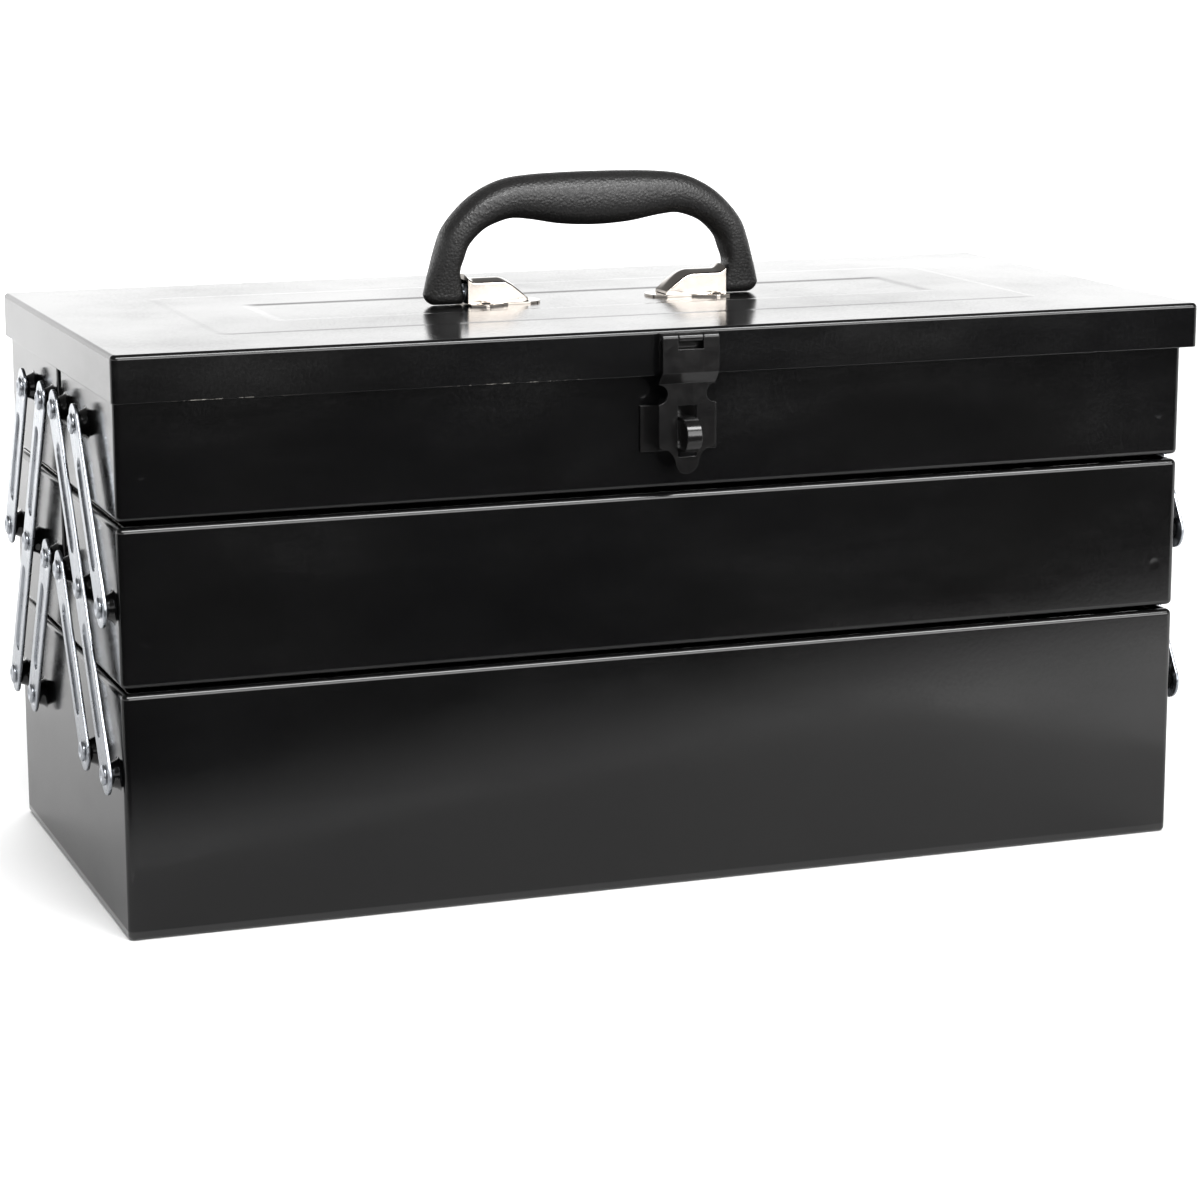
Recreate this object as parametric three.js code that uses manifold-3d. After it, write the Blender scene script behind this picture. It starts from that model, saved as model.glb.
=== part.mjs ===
// A five-compartment steel cantilever toolbox: a base, two middle trays and two top trays that fold
// out to the front and the rear on riveted arms, under one lid with a carrying handle and a hasp.
// Millimetres. X runs along the length, -Y is the front, +Z is up. The origin is the middle of the
// base's underside.
import * as THREE from "three";
import { mergeVertices } from "three/addons/utils/BufferGeometryUtils.js";
import Module from "manifold-3d";

const wasm = await Module();
wasm.setup();

// ---- Driving dimensions ----

const SHEET = 0.8;
const GAP = 0.3;
const CLEAR = 1; // how far a cutting solid reaches past what it cuts
const HALF_LENGTH = 245;
const HALF_DEPTH = 111;
const SLIT = 2.5; // from the centre plane to each tray's inner wall
const CORNER_RADIUS = 3;
const BOTTOM_FILLET = 2.2;
const RIM_RADIUS = 2.6; // the rolled top edge of every box

const BASE_TOP = 106.1;
const MID_TRAY = { bottom: 107.9, top: 175.9 };
const TOP_TRAY = { bottom: 177.9, top: 244.5 };

// Pivots on the end faces: distances from the centre plane, and heights on base, middle and top.
const PIVOT_INNER = 14;
const PIVOT_MIDDLE = 57;
const PIVOT_OUTER = 100;
const PIVOT_BASE_Z = 70;
const PIVOT_MID_Z = 141;
const PIVOT_TOP_Z = 211.5;

// The stack at a pivot, measured outwards from the end wall.
const BOSS_HEIGHT = 4.2;
const BOSS_FOOT_RADIUS = 6.15;
const BOSS_FACE_RADIUS = 4.35;
const ARM_SHEET = 1.5;
const ARM_WIDTH = 17;
const ARM_BEAD_WIDTH = 7.4;
const ARM_BEAD_DEPTH = 0.9;
const ARM_BEAD_START = 20; // from a pivot to the centre of the bead's round end
const SHANK_RADIUS = 1.6;
const HEAD_RADIUS = 4.4;
const HEAD_HEIGHT = 1.6;
const HEAD_CROWN = 0.6; // the flat on the head, as a share of its radius
const TAIL_RADIUS = 3;
const TAIL_HEIGHT = 1.1;

// How finely round shapes are cut up.
const ROUND_SIDES = 8;
const GRIP_SIDES = 12;
const CORNER_STEPS = 2;
const ARC_STEPS = 6;
const SMALL_ARC_STEPS = 3;
const STAPLE_STEPS = 10;
const ROLL_ANGLES = [180, 120, 60, 0, -45]; // round the rolled rim, in degrees
const MERGE_DISTANCE = 1e-4;

const LID = { halfLength: 247.5, front: -121, rear: 113, top: 247.9, bottom: 228.1, edge: 1.6 };
const HANDLE_Y = -5;
const LID_PANEL = { halfLength: 190, halfDepth: 67, radius: 6, rise: 0.6 };
const LID_RECESS = { halfLength: 155, halfDepth: 28.5, radius: 4, drop: 1.0 };
const LID_FLOOR = LID.top - LID_RECESS.drop;

const HINGE = { y: 113.5, z: 225.5, halfLength: 230, barrel: 2.2, bore: 1.35, pin: 1, sheet: 0.8 };
const HINGE_KNUCKLES = 7;
const HINGE_TRAY_LEAF_BOTTOM = 209;
const HINGE_LID_LEAF_TOP = 241;
const HINGE_TONGUE_DROP = 0.75; // how far a lid knuckle's tongue starts up its barrel, as a share

const BRACKET = { sheet: 1.2, flange: 1, inner: 33.5, outer: 62.1, top: 258.5, halfDepth: 8.3, lip: 2 };
// The hood's outline from its lip to its toe and the hollow under it: [distance from the toe, drop
// from the top], with the corner under the slope rounded.
const HOOD_CORNER = [[12.5, 0], [9, 0], [7, 2.2]];
const HOLLOW_CORNER = [[12.9, 0], [8.6, 1.4]];
const HOLLOW_TOE = 1.6;
const FOOT_TIP_X = 26;
// Half of the foot plate's edge from its outer end inwards: [X, distance from the handle's plane].
// The tab that carries the rivet bulges by a curve between its two shoulders.
const FOOT_OUTER = [[62.1, 13], [60.5, 14]];
const FOOT_BULGE = [55.5, 19];
const FOOT_INNER = [[50.5, 14], [45.5, 13], [43.5, 10], [33.5, 10]];
const BRACKET_RIVET = { x: 55.5, y: 12, radius: 3.3, height: 1.4, shoulder: 0.56, crown: 0.6 };
const HANDLE_PIVOT_Z = 252.7;
const HANDLE_INNER = 62.5;
const HANDLE_OUTER = 80.1;
const HANDLE_END_RADIUS = 5.2;
const HANDLE_CORNER = 6;
const HANDLE_END_RISES = [0.15, 1, 3]; // of the rings below the pivot, over the grip's lowest point
const HANDLE_PIN = { collar: 4.2, shank: 2.3, bore: 2.6, inner: 47, depth: 10 };
// The right half of the grip from its pivot to the middle: x, height over the pivot, half width in
// the plane of the loop, half depth across it.
const GRIP_STATIONS = [
  [71.3, 0, 8.8, 5.2],
  [70.4, 7.3, 7.8, 6.6],
  [68.4, 17.8, 6.9, 8.4],
  [65.6, 25.3, 6.9, 9.2],
  [58.4, 33.3, 7.3, 9.8],
  [50.9, 38.2, 8.1, 10.2],
  [41.3, 41.6, 8.9, 10.5],
  [30.5, 42.1, 10, 10.8],
  [16.2, 41.2, 11.5, 11],
  [0, 40.8, 12.05, 11],
];

const HASP = { x: 0, y: -125.1, z: 244.4, barrel: 1.9, bore: 1.25, pin: 0.95, sheet: 1.5 };
const HASP_HALF_WIDTH = 12.8;
const HASP_CENTRE_KNUCKLE = 5.5; // half length of the knuckle on the fixed plate
const HASP_PLATE = { sheet: 1, bottom: 229.5, top: 246.3 };
const HASP_NOTCH_BOTTOM = 239.6;
const HASP_JOGGLE = { top: 229.6, bottom: 224.6, depth: 4.5 };
const HASP_NECK = { z: 220, radius: 4.2 };
const HASP_SHOULDER_Z = 197.3;
const HASP_TIP = { z: 190.6, radius: 5.2, flank: 1.6 };
const HASP_SLOT = { halfWidth: 4.3, bottom: 192.9, top: 214.9 };
const STAPLE_PLATE = { halfWidth: 17.5, bottom: 194.2, top: 214.2, sheet: 1 };
const STAPLE_LOOP = { halfWidth: 3.4, bottom: 195, top: 210, front: -132, sheet: 1.6 };

const STEEL_BLACK = { color: 0x131416, roughness: 0.16, metalness: 0 };
const ZINC = { color: 0xb4bcc6, roughness: 0.34, metalness: 1 };
const NICKEL = { color: 0xcfc8be, roughness: 0.14, metalness: 1 };
const GRIP_BLACK = { color: 0x1a1a1c, roughness: 0.55, metalness: 0 };
const HASP_BLACK = { color: 0x1b1b1d, roughness: 0.3, metalness: 0 };

// ---- Solids from three.js geometry ----

const AXIS_X = new THREE.Vector3(1, 0, 0);
const AXIS_Y = new THREE.Vector3(0, 1, 0);
const AXIS_Z = new THREE.Vector3(0, 0, 1);

// A closed geometry as a solid, with shared vertices merged and slivers of no area dropped.
function solid(geometry) {
  geometry.deleteAttribute("normal");
  geometry.deleteAttribute("uv");
  const merged = mergeVertices(geometry, MERGE_DISTANCE);
  const index = merged.index.array;
  const kept = [];
  for (let i = 0; i < index.length; i += 3) {
    const [a, b, c] = [index[i], index[i + 1], index[i + 2]];
    if (a !== b && b !== c && c !== a) kept.push(a, b, c);
  }
  const vertProperties = new Float32Array(merged.attributes.position.array);
  const mesh = new wasm.Mesh({ numProp: 3, vertProperties, triVerts: new Uint32Array(kept) });
  return new wasm.Manifold(mesh);
}

function geometryOf(body) {
  const mesh = body.getMesh();
  const geometry = new THREE.BufferGeometry();
  geometry.setAttribute("position", new THREE.BufferAttribute(mesh.vertProperties, 3));
  geometry.setIndex(new THREE.BufferAttribute(mesh.triVerts, 1));
  geometry.computeVertexNormals();
  return geometry;
}

function joined(bodies) {
  return bodies.reduce((whole, body) => whole.add(body));
}

// Rings of equal count, each anticlockwise as seen from the side the next one lies on, joined into
// one closed skin with a flat face at both ends.
function loft(rings) {
  const count = rings[0].length;
  const positions = rings.flat().flatMap((p) => [p.x, p.y, p.z]);
  const index = [];
  for (let r = 0; r + 1 < rings.length; r++) {
    for (let i = 0; i < count; i++) {
      const [a, b] = [r * count + i, r * count + (i + 1) % count];
      index.push(a, b, b + count, a, b + count, a + count);
    }
  }
  const last = (rings.length - 1) * count;
  for (let i = 1; i + 1 < count; i++) {
    index.push(0, i + 1, i);
    index.push(last, last + i, last + i + 1);
  }
  const geometry = new THREE.BufferGeometry();
  geometry.setAttribute("position", new THREE.Float32BufferAttribute(positions, 3));
  geometry.setIndex(index);
  return solid(geometry);
}

function extruded(shape, depth, curveSegments) {
  return new THREE.ExtrudeGeometry(shape, { depth, bevelEnabled: false, curveSegments });
}

// A shape drawn in (Y, Z), from x0 to x1.
function alongX(shape, x0, x1, curveSegments = ARC_STEPS) {
  const geometry = extruded(shape, x1 - x0, curveSegments);
  geometry.applyMatrix4(new THREE.Matrix4().makeBasis(AXIS_Y, AXIS_Z, AXIS_X).setPosition(x0, 0, 0));
  return solid(geometry);
}

// A shape drawn in (X, Z), from y0 to y1.
function alongY(shape, y0, y1, curveSegments = ARC_STEPS) {
  const geometry = extruded(shape, y1 - y0, curveSegments);
  const front = AXIS_Y.clone().negate();
  geometry.applyMatrix4(new THREE.Matrix4().makeBasis(AXIS_X, AXIS_Z, front).setPosition(0, y1, 0));
  return solid(geometry);
}

// A shape drawn in (X, Y), from z0 to z1.
function alongZ(shape, z0, z1, curveSegments = ARC_STEPS) {
  const geometry = extruded(shape, z1 - z0, curveSegments);
  geometry.translate(0, 0, z0);
  return solid(geometry);
}

// A turned solid on an axis along X or Z: the profile lists [radius, place along the axis] from one
// end of the axis to the other.
function turned(profile, axis, centre, sides = ROUND_SIDES) {
  const points = profile.map(([radius, along]) => new THREE.Vector2(radius, along));
  const geometry = new THREE.LatheGeometry(points, sides);
  if (axis === "x") geometry.rotateZ(-Math.PI / 2);
  if (axis === "z") geometry.rotateX(Math.PI / 2);
  geometry.translate(...centre);
  return solid(geometry);
}

function rodX(radius, x0, x1, y, z, sides = ROUND_SIDES) {
  return turned([[0, x0], [radius, x0], [radius, x1], [0, x1]], "x", [0, y, z], sides);
}

function rectangle(u0, u1, v0, v1) {
  const corners = [[u0, v0], [u1, v0], [u1, v1], [u0, v1]];
  return new THREE.Shape(corners.map(([u, v]) => new THREE.Vector2(u, v)));
}

// The stretch of X between two distances from the middle, on the left (-1) or the right (1).
function onSide(side, near, far) {
  return side > 0 ? [near, far] : [-far, -near];
}

function boxSolid(x0, x1, y0, y1, z0, z1) {
  return alongZ(rectangle(x0, x1, y0, y1), z0, z1);
}

// A rounded rectangle as one ring of points, anticlockwise from above.
function roundedRing(x0, x1, y0, y1, radius, z) {
  const steps = CORNER_STEPS;
  const corners = [[x1, y0, -1], [x1, y1, 0], [x0, y1, 1], [x0, y0, 2]];
  const ring = [];
  for (const [x, y, quarter] of corners) {
    const cx = x > (x0 + x1) / 2 ? x - radius : x + radius;
    const cy = y > (y0 + y1) / 2 ? y - radius : y + radius;
    for (let i = 0; i <= steps; i++) {
      const angle = ((quarter + i / steps) * Math.PI) / 2;
      ring.push(new THREE.Vector3(cx + radius * Math.cos(angle), cy + radius * Math.sin(angle), z));
    }
  }
  return ring;
}

// ---- The boxes ----

// One open box folded from sheet: filleted below, with its top edge rolled inwards.
function rolledBox(x0, x1, y0, y1, z0, z1) {
  const ring = (inset, z) => {
    const radius = Math.max(CORNER_RADIUS - inset, GAP);
    return roundedRing(x0 + inset, x1 - inset, y0 + inset, y1 - inset, radius, z);
  };
  const rollAngles = ROLL_ANGLES.map(THREE.MathUtils.degToRad);
  const roll = (radius) => (angle) =>
    ring(RIM_RADIUS + radius * Math.cos(angle), z1 - RIM_RADIUS + radius * Math.sin(angle));
  const fillet = BOTTOM_FILLET * (1 - Math.SQRT1_2);
  return loft([
    ring(BOTTOM_FILLET, z0),
    ring(fillet, z0 + fillet),
    ring(0, z0 + BOTTOM_FILLET),
    ...rollAngles.map(roll(RIM_RADIUS)),
    ...rollAngles.toReversed().map(roll(RIM_RADIUS - SHEET)),
    ring(SHEET, z0 + BOTTOM_FILLET),
    ring(BOTTOM_FILLET, z0 + SHEET),
  ]);
}

// The hollow cone pressed outwards from an end wall at each pivot, and the hole in its face.
function pressBosses(box, pivots) {
  let pressed = box;
  for (const side of [-1, 1]) {
    const wall = HALF_LENGTH;
    for (const [y, z] of pivots) {
      const stack = (profile) => {
        const along = profile.map(([radius, x]) => [radius, side * x]);
        return turned(side > 0 ? along : along.reverse(), "x", [0, y, z]);
      };
      const face = wall + BOSS_HEIGHT;
      const rootX = wall - SHEET / 2;
      const outside = stack([
        [0, rootX],
        [BOSS_FOOT_RADIUS, rootX],
        [BOSS_FOOT_RADIUS, wall],
        [BOSS_FACE_RADIUS, face],
        [0, face],
      ]);
      const inside = stack([
        [0, wall - 2 * SHEET],
        [BOSS_FOOT_RADIUS - SHEET, wall - 2 * SHEET],
        [BOSS_FOOT_RADIUS - SHEET, wall - SHEET],
        [BOSS_FACE_RADIUS - SHEET, face - SHEET],
        [SHANK_RADIUS + GAP, face - SHEET],
        [SHANK_RADIUS + GAP, face + SHEET],
        [0, face + SHEET],
      ]);
      pressed = pressed.add(outside).subtract(inside);
    }
  }
  return pressed;
}

function baseBox() {
  const box = rolledBox(-HALF_LENGTH, HALF_LENGTH, -HALF_DEPTH, HALF_DEPTH, 0, BASE_TOP);
  const places = [-PIVOT_OUTER, -PIVOT_MIDDLE, PIVOT_MIDDLE, PIVOT_OUTER];
  return pressBosses(box, places.map((y) => [y, PIVOT_BASE_Z]));
}

// side is -1 for the front half and 1 for the rear half.
function trayBox(side, level, places, pivotZ) {
  const edges = [side * SLIT, side * HALF_DEPTH].sort((a, b) => a - b);
  const box = rolledBox(-HALF_LENGTH, HALF_LENGTH, ...edges, level.bottom, level.top);
  return pressBosses(box, places.map((place) => [side * place, pivotZ]));
}

// ---- The arms and their rivets ----

function capsule(from, to, radius) {
  const heading = Math.atan2(to[1] - from[1], to[0] - from[0]);
  const quarter = Math.PI / 2;
  const shape = new THREE.Shape();
  shape.absarc(...to, radius, heading - quarter, heading + quarter);
  shape.absarc(...from, radius, heading + quarter, heading + 3 * quarter);
  shape.closePath();
  return shape;
}

function between(from, to, distance) {
  const length = Math.hypot(to[0] - from[0], to[1] - from[1]);
  return [0, 1].map((k) => from[k] + ((to[k] - from[k]) * distance) / length);
}

// A flat bar through its pivots in (Y, Z), with a bead pressed inwards between each two of them.
function arm(pivots, end) {
  const faceIn = HALF_LENGTH + BOSS_HEIGHT + GAP;
  const faceOut = faceIn + ARM_SHEET;
  const slab = (shape, near, far, steps) => alongX(shape, ...onSide(end, near, far), steps);
  let bar = slab(capsule(pivots[0], pivots.at(-1), ARM_WIDTH / 2), faceIn, faceOut, ARC_STEPS);
  for (let i = 0; i + 1 < pivots.length; i++) {
    const from = between(pivots[i], pivots[i + 1], ARM_BEAD_START);
    const to = between(pivots[i + 1], pivots[i], ARM_BEAD_START);
    const ridge = capsule(from, to, ARM_BEAD_WIDTH / 2 + SHEET);
    const groove = capsule(from, to, ARM_BEAD_WIDTH / 2);
    const floor = faceOut - ARM_BEAD_DEPTH;
    const back = faceIn - ARM_BEAD_DEPTH;
    bar = bar.add(slab(ridge, back, faceIn + ARM_SHEET / 2, SMALL_ARC_STEPS));
    bar = bar.subtract(slab(groove, floor, faceOut + SHEET, SMALL_ARC_STEPS));
  }
  const through = onSide(end, faceIn - ARM_SHEET, faceOut + ARM_SHEET);
  for (const [y, z] of pivots) {
    bar = bar.subtract(rodX(SHANK_RADIUS + GAP, ...through, y, z));
  }
  return bar;
}

// A domed head over the arm, a shank through arm and boss, and a tail spread inside the boss.
function rivet(y, z, end) {
  const bossFace = HALF_LENGTH + BOSS_HEIGHT;
  const headFoot = bossFace + GAP + ARM_SHEET + GAP;
  const tailFace = bossFace - SHEET - GAP;
  const profile = [
    [0, tailFace - TAIL_HEIGHT],
    [TAIL_RADIUS, tailFace - TAIL_HEIGHT],
    [TAIL_RADIUS, tailFace],
    [SHANK_RADIUS, tailFace],
    [SHANK_RADIUS, headFoot],
    [HEAD_RADIUS, headFoot],
    [HEAD_RADIUS * HEAD_CROWN, headFoot + HEAD_HEIGHT],
    [0, headFoot + HEAD_HEIGHT],
  ].map(([radius, x]) => [radius, end * x]);
  return turned(end > 0 ? profile : profile.reverse(), "x", [0, y, z]);
}

// ---- The lid ----

function lidShell() {
  const { halfLength, front, rear, top, bottom, edge } = LID;
  const outline = (inset, z) => {
    const radius = Math.max(CORNER_RADIUS - inset, GAP);
    const reach = halfLength - inset;
    return roundedRing(-reach, reach, front + inset, rear - inset, radius, z);
  };
  const panel = ({ halfLength: length, halfDepth, radius }, inset, z) =>
    roundedRing(
      -length + inset,
      length - inset,
      HANDLE_Y - halfDepth + inset,
      HANDLE_Y + halfDepth - inset,
      radius,
      z,
    );
  const raised = top + LID_PANEL.rise;
  const shoulder = edge * (1 - Math.SQRT1_2);
  const upper = [
    outline(0, top - edge),
    outline(shoulder, top - shoulder),
    outline(edge, top),
    panel(LID_PANEL, 0, top),
    panel(LID_PANEL, LID_PANEL.rise, raised),
    panel(LID_RECESS, -LID_RECESS.drop, raised),
    panel(LID_RECESS, 0, LID_FLOOR),
  ];
  const under = [
    outline(SHEET, top - edge),
    outline(edge, top - SHEET),
    panel(LID_PANEL, 0, top - SHEET),
    panel(LID_PANEL, LID_PANEL.rise, raised - SHEET),
    panel(LID_RECESS, -LID_RECESS.drop, raised - SHEET),
    panel(LID_RECESS, 0, LID_FLOOR - SHEET),
  ];
  return loft([...under.toReversed(), outline(SHEET, bottom), outline(0, bottom), ...upper]);
}

// ---- The long hinge between the rear top tray and the lid ----

// The knuckles of one leaf: every other one, from first.
function hingeKnuckles(first) {
  const pitch = (2 * HINGE.halfLength) / HINGE_KNUCKLES;
  const spans = [];
  for (let i = first; i < HINGE_KNUCKLES; i += 2) {
    const start = -HINGE.halfLength + i * pitch;
    spans.push([start + GAP / 2, start + pitch - GAP / 2]);
  }
  return spans;
}

function hingeLeaf(first, y0, leafZ, reachZ) {
  const spans = hingeKnuckles(first);
  const leaf = boxSolid(-HINGE.halfLength, HINGE.halfLength, y0, y0 + HINGE.sheet, ...leafZ);
  const reaches = spans.map(([x0, x1]) => boxSolid(x0, x1, y0, y0 + HINGE.sheet, ...reachZ));
  const barrels = spans.map(([x0, x1]) => rodX(HINGE.barrel, x0, x1, HINGE.y, HINGE.z));
  const through = HINGE.halfLength + HINGE.sheet;
  const bore = rodX(HINGE.bore, -through, through, HINGE.y, HINGE.z);
  return joined([leaf, ...reaches, ...barrels]).subtract(bore);
}

function hingeTrayLeaf() {
  const y0 = HINGE.y - HINGE.barrel;
  const clear = HINGE.z - HINGE.barrel - GAP;
  return hingeLeaf(0, y0, [HINGE_TRAY_LEAF_BOTTOM, clear], [clear - HINGE.sheet, HINGE.z]);
}

function hingeLidLeaf() {
  const y0 = LID.rear + GAP;
  const clear = HINGE.z + HINGE.barrel + GAP;
  const tongue = HINGE.z + HINGE.barrel * HINGE_TONGUE_DROP;
  return hingeLeaf(1, y0, [clear, HINGE_LID_LEAF_TOP], [tongue, clear + HINGE.sheet]);
}

function hingePin() {
  return rodX(HINGE.pin, -HINGE.halfLength, HINGE.halfLength, HINGE.y, HINGE.z);
}

// ---- The handle ----

// The foot plate in (X, Y): narrow to its tip, with a scalloped tab on each side for a rivet.
function bracketFoot(side) {
  const at = ([x, y], flank) => [side * x, HANDLE_Y + flank * y];
  const outline = new THREE.Shape();
  outline.moveTo(...at(FOOT_OUTER[0], -1));
  for (const corner of FOOT_OUTER) outline.lineTo(...at(corner, 1));
  outline.quadraticCurveTo(...at(FOOT_BULGE, 1), ...at(FOOT_INNER[0], 1));
  for (const corner of FOOT_INNER) outline.lineTo(...at(corner, 1));
  const [, toeY] = FOOT_INNER.at(-1);
  outline.quadraticCurveTo(...at([FOOT_TIP_X, toeY], 1), ...at([FOOT_TIP_X, 0], 1));
  outline.quadraticCurveTo(...at([FOOT_TIP_X, toeY], -1), ...at(FOOT_INNER.at(-1), -1));
  for (const corner of FOOT_INNER.toReversed()) outline.lineTo(...at(corner, -1));
  outline.quadraticCurveTo(...at(FOOT_BULGE, -1), ...at(FOOT_OUTER.at(-1), -1));
  return outline;
}

// side is -1 for the left bracket and 1 for the right one, which are mirror images.
function bracket(side) {
  const { sheet, flange, inner, outer, top, halfDepth, lip } = BRACKET;
  const foot = LID_FLOOR + GAP;
  const flangeTop = foot + flange;
  const under = (ceiling) => ([run, drop]) => [side * (inner + run), ceiling - drop];
  const [flat, bend, slope] = HOOD_CORNER.map(under(top));
  const hood = new THREE.Shape();
  hood.moveTo(side * inner, foot);
  hood.lineTo(side * outer, foot);
  hood.lineTo(side * outer, top + lip);
  hood.quadraticCurveTo(side * (outer - lip), top, side * (outer - 2 * lip), top);
  hood.lineTo(...flat);
  hood.quadraticCurveTo(...bend, ...slope);
  hood.lineTo(side * inner, flangeTop);
  const mouth = outer + sheet;
  const hollow = new THREE.Shape();
  hollow.moveTo(side * (inner + HOLLOW_TOE), foot - sheet);
  hollow.lineTo(side * mouth, foot - sheet);
  hollow.lineTo(side * mouth, top - sheet);
  for (const corner of HOLLOW_CORNER.map(under(top - sheet))) hollow.lineTo(...corner);
  hollow.lineTo(side * (inner + HOLLOW_TOE), flangeTop);
  const solidParts = [
    alongZ(bracketFoot(side), foot, flangeTop, SMALL_ARC_STEPS),
    alongY(hood, HANDLE_Y - halfDepth, HANDLE_Y + halfDepth, SMALL_ARC_STEPS),
  ];
  const { x, y: offset, radius, height, shoulder, crown } = BRACKET_RIVET;
  const dome = [
    [0, -flange / 2],
    [radius, -flange / 2],
    [radius, shoulder],
    [radius * crown, height],
    [0, height],
  ];
  for (const y of [-offset, offset]) {
    solidParts.push(turned(dome, "z", [side * x, HANDLE_Y + y, flangeTop]));
  }
  const inside = alongY(hollow, HANDLE_Y - halfDepth + sheet, HANDLE_Y + halfDepth - sheet);
  return joined(solidParts).subtract(inside);
}

function grip() {
  // Below its pivot an end is round about the pivot, with its outer bottom corner rounded off.
  const ending = HANDLE_END_RISES.map((rise) => {
    const outer = HANDLE_OUTER - HANDLE_CORNER;
    const bulge = Math.sqrt(HANDLE_CORNER ** 2 - (HANDLE_CORNER - rise) ** 2);
    const below = HANDLE_END_RADIUS - rise;
    const width = outer + bulge - HANDLE_INNER;
    const depth = Math.sqrt(HANDLE_END_RADIUS ** 2 - below ** 2);
    return [HANDLE_INNER + width / 2, -below, width / 2, depth];
  });
  const right = [...ending, ...GRIP_STATIONS];
  const left = right.slice(0, -1).map(([x, ...rest]) => [-x, ...rest]);
  const stations = [...left, ...right.toReversed()];
  const rings = stations.map(([x, rise, halfWidth, halfDepth], i) => {
    const before = stations[Math.max(i - 1, 0)];
    const after = stations[Math.min(i + 1, stations.length - 1)];
    const upright = rise <= 0;
    const run = upright ? 0 : after[0] - before[0];
    const climb = upright ? -Math.sign(x) : after[1] - before[1];
    const length = Math.hypot(run, climb);
    const ring = [];
    for (let k = 0; k < GRIP_SIDES; k++) {
      const angle = (2 * Math.PI * k) / GRIP_SIDES;
      const across = (halfWidth * Math.cos(angle)) / length;
      const depth = halfDepth * Math.sin(angle);
      const height = HANDLE_PIVOT_Z + rise - across * run;
      ring.push(new THREE.Vector3(x + across * climb, HANDLE_Y + depth, height));
    }
    return ring;
  });
  let body = loft(rings);
  for (const side of [-1, 1]) {
    const reach = onSide(side, HANDLE_INNER - CLEAR, HANDLE_INNER + HANDLE_PIN.depth + GAP);
    body = body.subtract(rodX(HANDLE_PIN.bore, ...reach, HANDLE_Y, HANDLE_PIVOT_Z));
  }
  return body;
}

// A steel stub pressed into each end of the grip, with a thick collar turning in the bracket.
function handlePin(side) {
  const collarEnd = HANDLE_INNER - GAP;
  const profile = [
    [0, HANDLE_PIN.inner],
    [HANDLE_PIN.collar, HANDLE_PIN.inner],
    [HANDLE_PIN.collar, collarEnd],
    [HANDLE_PIN.shank, collarEnd],
    [HANDLE_PIN.shank, HANDLE_INNER + HANDLE_PIN.depth],
    [0, HANDLE_INNER + HANDLE_PIN.depth],
  ].map(([radius, x]) => [radius, side * x]);
  return turned(side > 0 ? profile : profile.reverse(), "x", [0, HANDLE_Y, HANDLE_PIVOT_Z]);
}

// ---- The hasp and its staple ----

function haspPlate() {
  const back = LID.front - GAP;
  const front = back - HASP_PLATE.sheet;
  const { bottom, top } = HASP_PLATE;
  const width = [HASP.x - HASP_HALF_WIDTH, HASP.x + HASP_HALF_WIDTH];
  const plate = boxSolid(...width, front, back, bottom, top);
  const span = [HASP.x - HASP_CENTRE_KNUCKLE, HASP.x + HASP_CENTRE_KNUCKLE];
  const wrap = boxSolid(...span, HASP.y, back, top - HASP_PLATE.sheet, top);
  const knuckle = rodX(HASP.barrel, ...span, HASP.y, HASP.z);
  const bore = rodX(HASP.bore, span[0] - CLEAR, span[1] + CLEAR, HASP.y, HASP.z);
  return joined([plate, wrap, knuckle]).subtract(bore);
}

// The outline of the swinging leaf in (X, Z): square above, nipped in at the neck, and drawn in
// through hollow shoulders to a round tip.
function haspOutline() {
  const { x } = HASP;
  const half = HASP_HALF_WIDTH;
  const neckTop = HASP_NECK.z + HASP_NECK.radius;
  const neckBottom = HASP_NECK.z - HASP_NECK.radius;
  const tipFlank = HASP_TIP.z + HASP_TIP.flank;
  const hollowX = HASP_TIP.radius + 1;
  const shape = new THREE.Shape();
  shape.moveTo(x - half, HASP.z + HASP.barrel);
  shape.lineTo(x - half, neckTop);
  shape.absarc(x - half, HASP_NECK.z, HASP_NECK.radius, Math.PI / 2, -Math.PI / 2, true);
  shape.lineTo(x - half, HASP_SHOULDER_Z);
  shape.quadraticCurveTo(x - hollowX, HASP_SHOULDER_Z - 1, x - HASP_TIP.radius, tipFlank);
  shape.lineTo(x - HASP_TIP.radius, HASP_TIP.z);
  shape.absarc(x, HASP_TIP.z, HASP_TIP.radius, Math.PI, 2 * Math.PI, false);
  shape.lineTo(x + HASP_TIP.radius, tipFlank);
  shape.quadraticCurveTo(x + hollowX, HASP_SHOULDER_Z - 1, x + half, HASP_SHOULDER_Z);
  shape.lineTo(x + half, neckBottom);
  shape.absarc(x + half, HASP_NECK.z, HASP_NECK.radius, -Math.PI / 2, -1.5 * Math.PI, true);
  shape.lineTo(x + half, HASP.z + HASP.barrel);
  const { halfWidth, bottom, top } = HASP_SLOT;
  const slot = new THREE.Path();
  slot.moveTo(x - halfWidth, bottom);
  slot.lineTo(x - halfWidth, top);
  slot.lineTo(x + halfWidth, top);
  slot.lineTo(x + halfWidth, bottom);
  shape.holes.push(slot);
  return shape;
}

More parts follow.
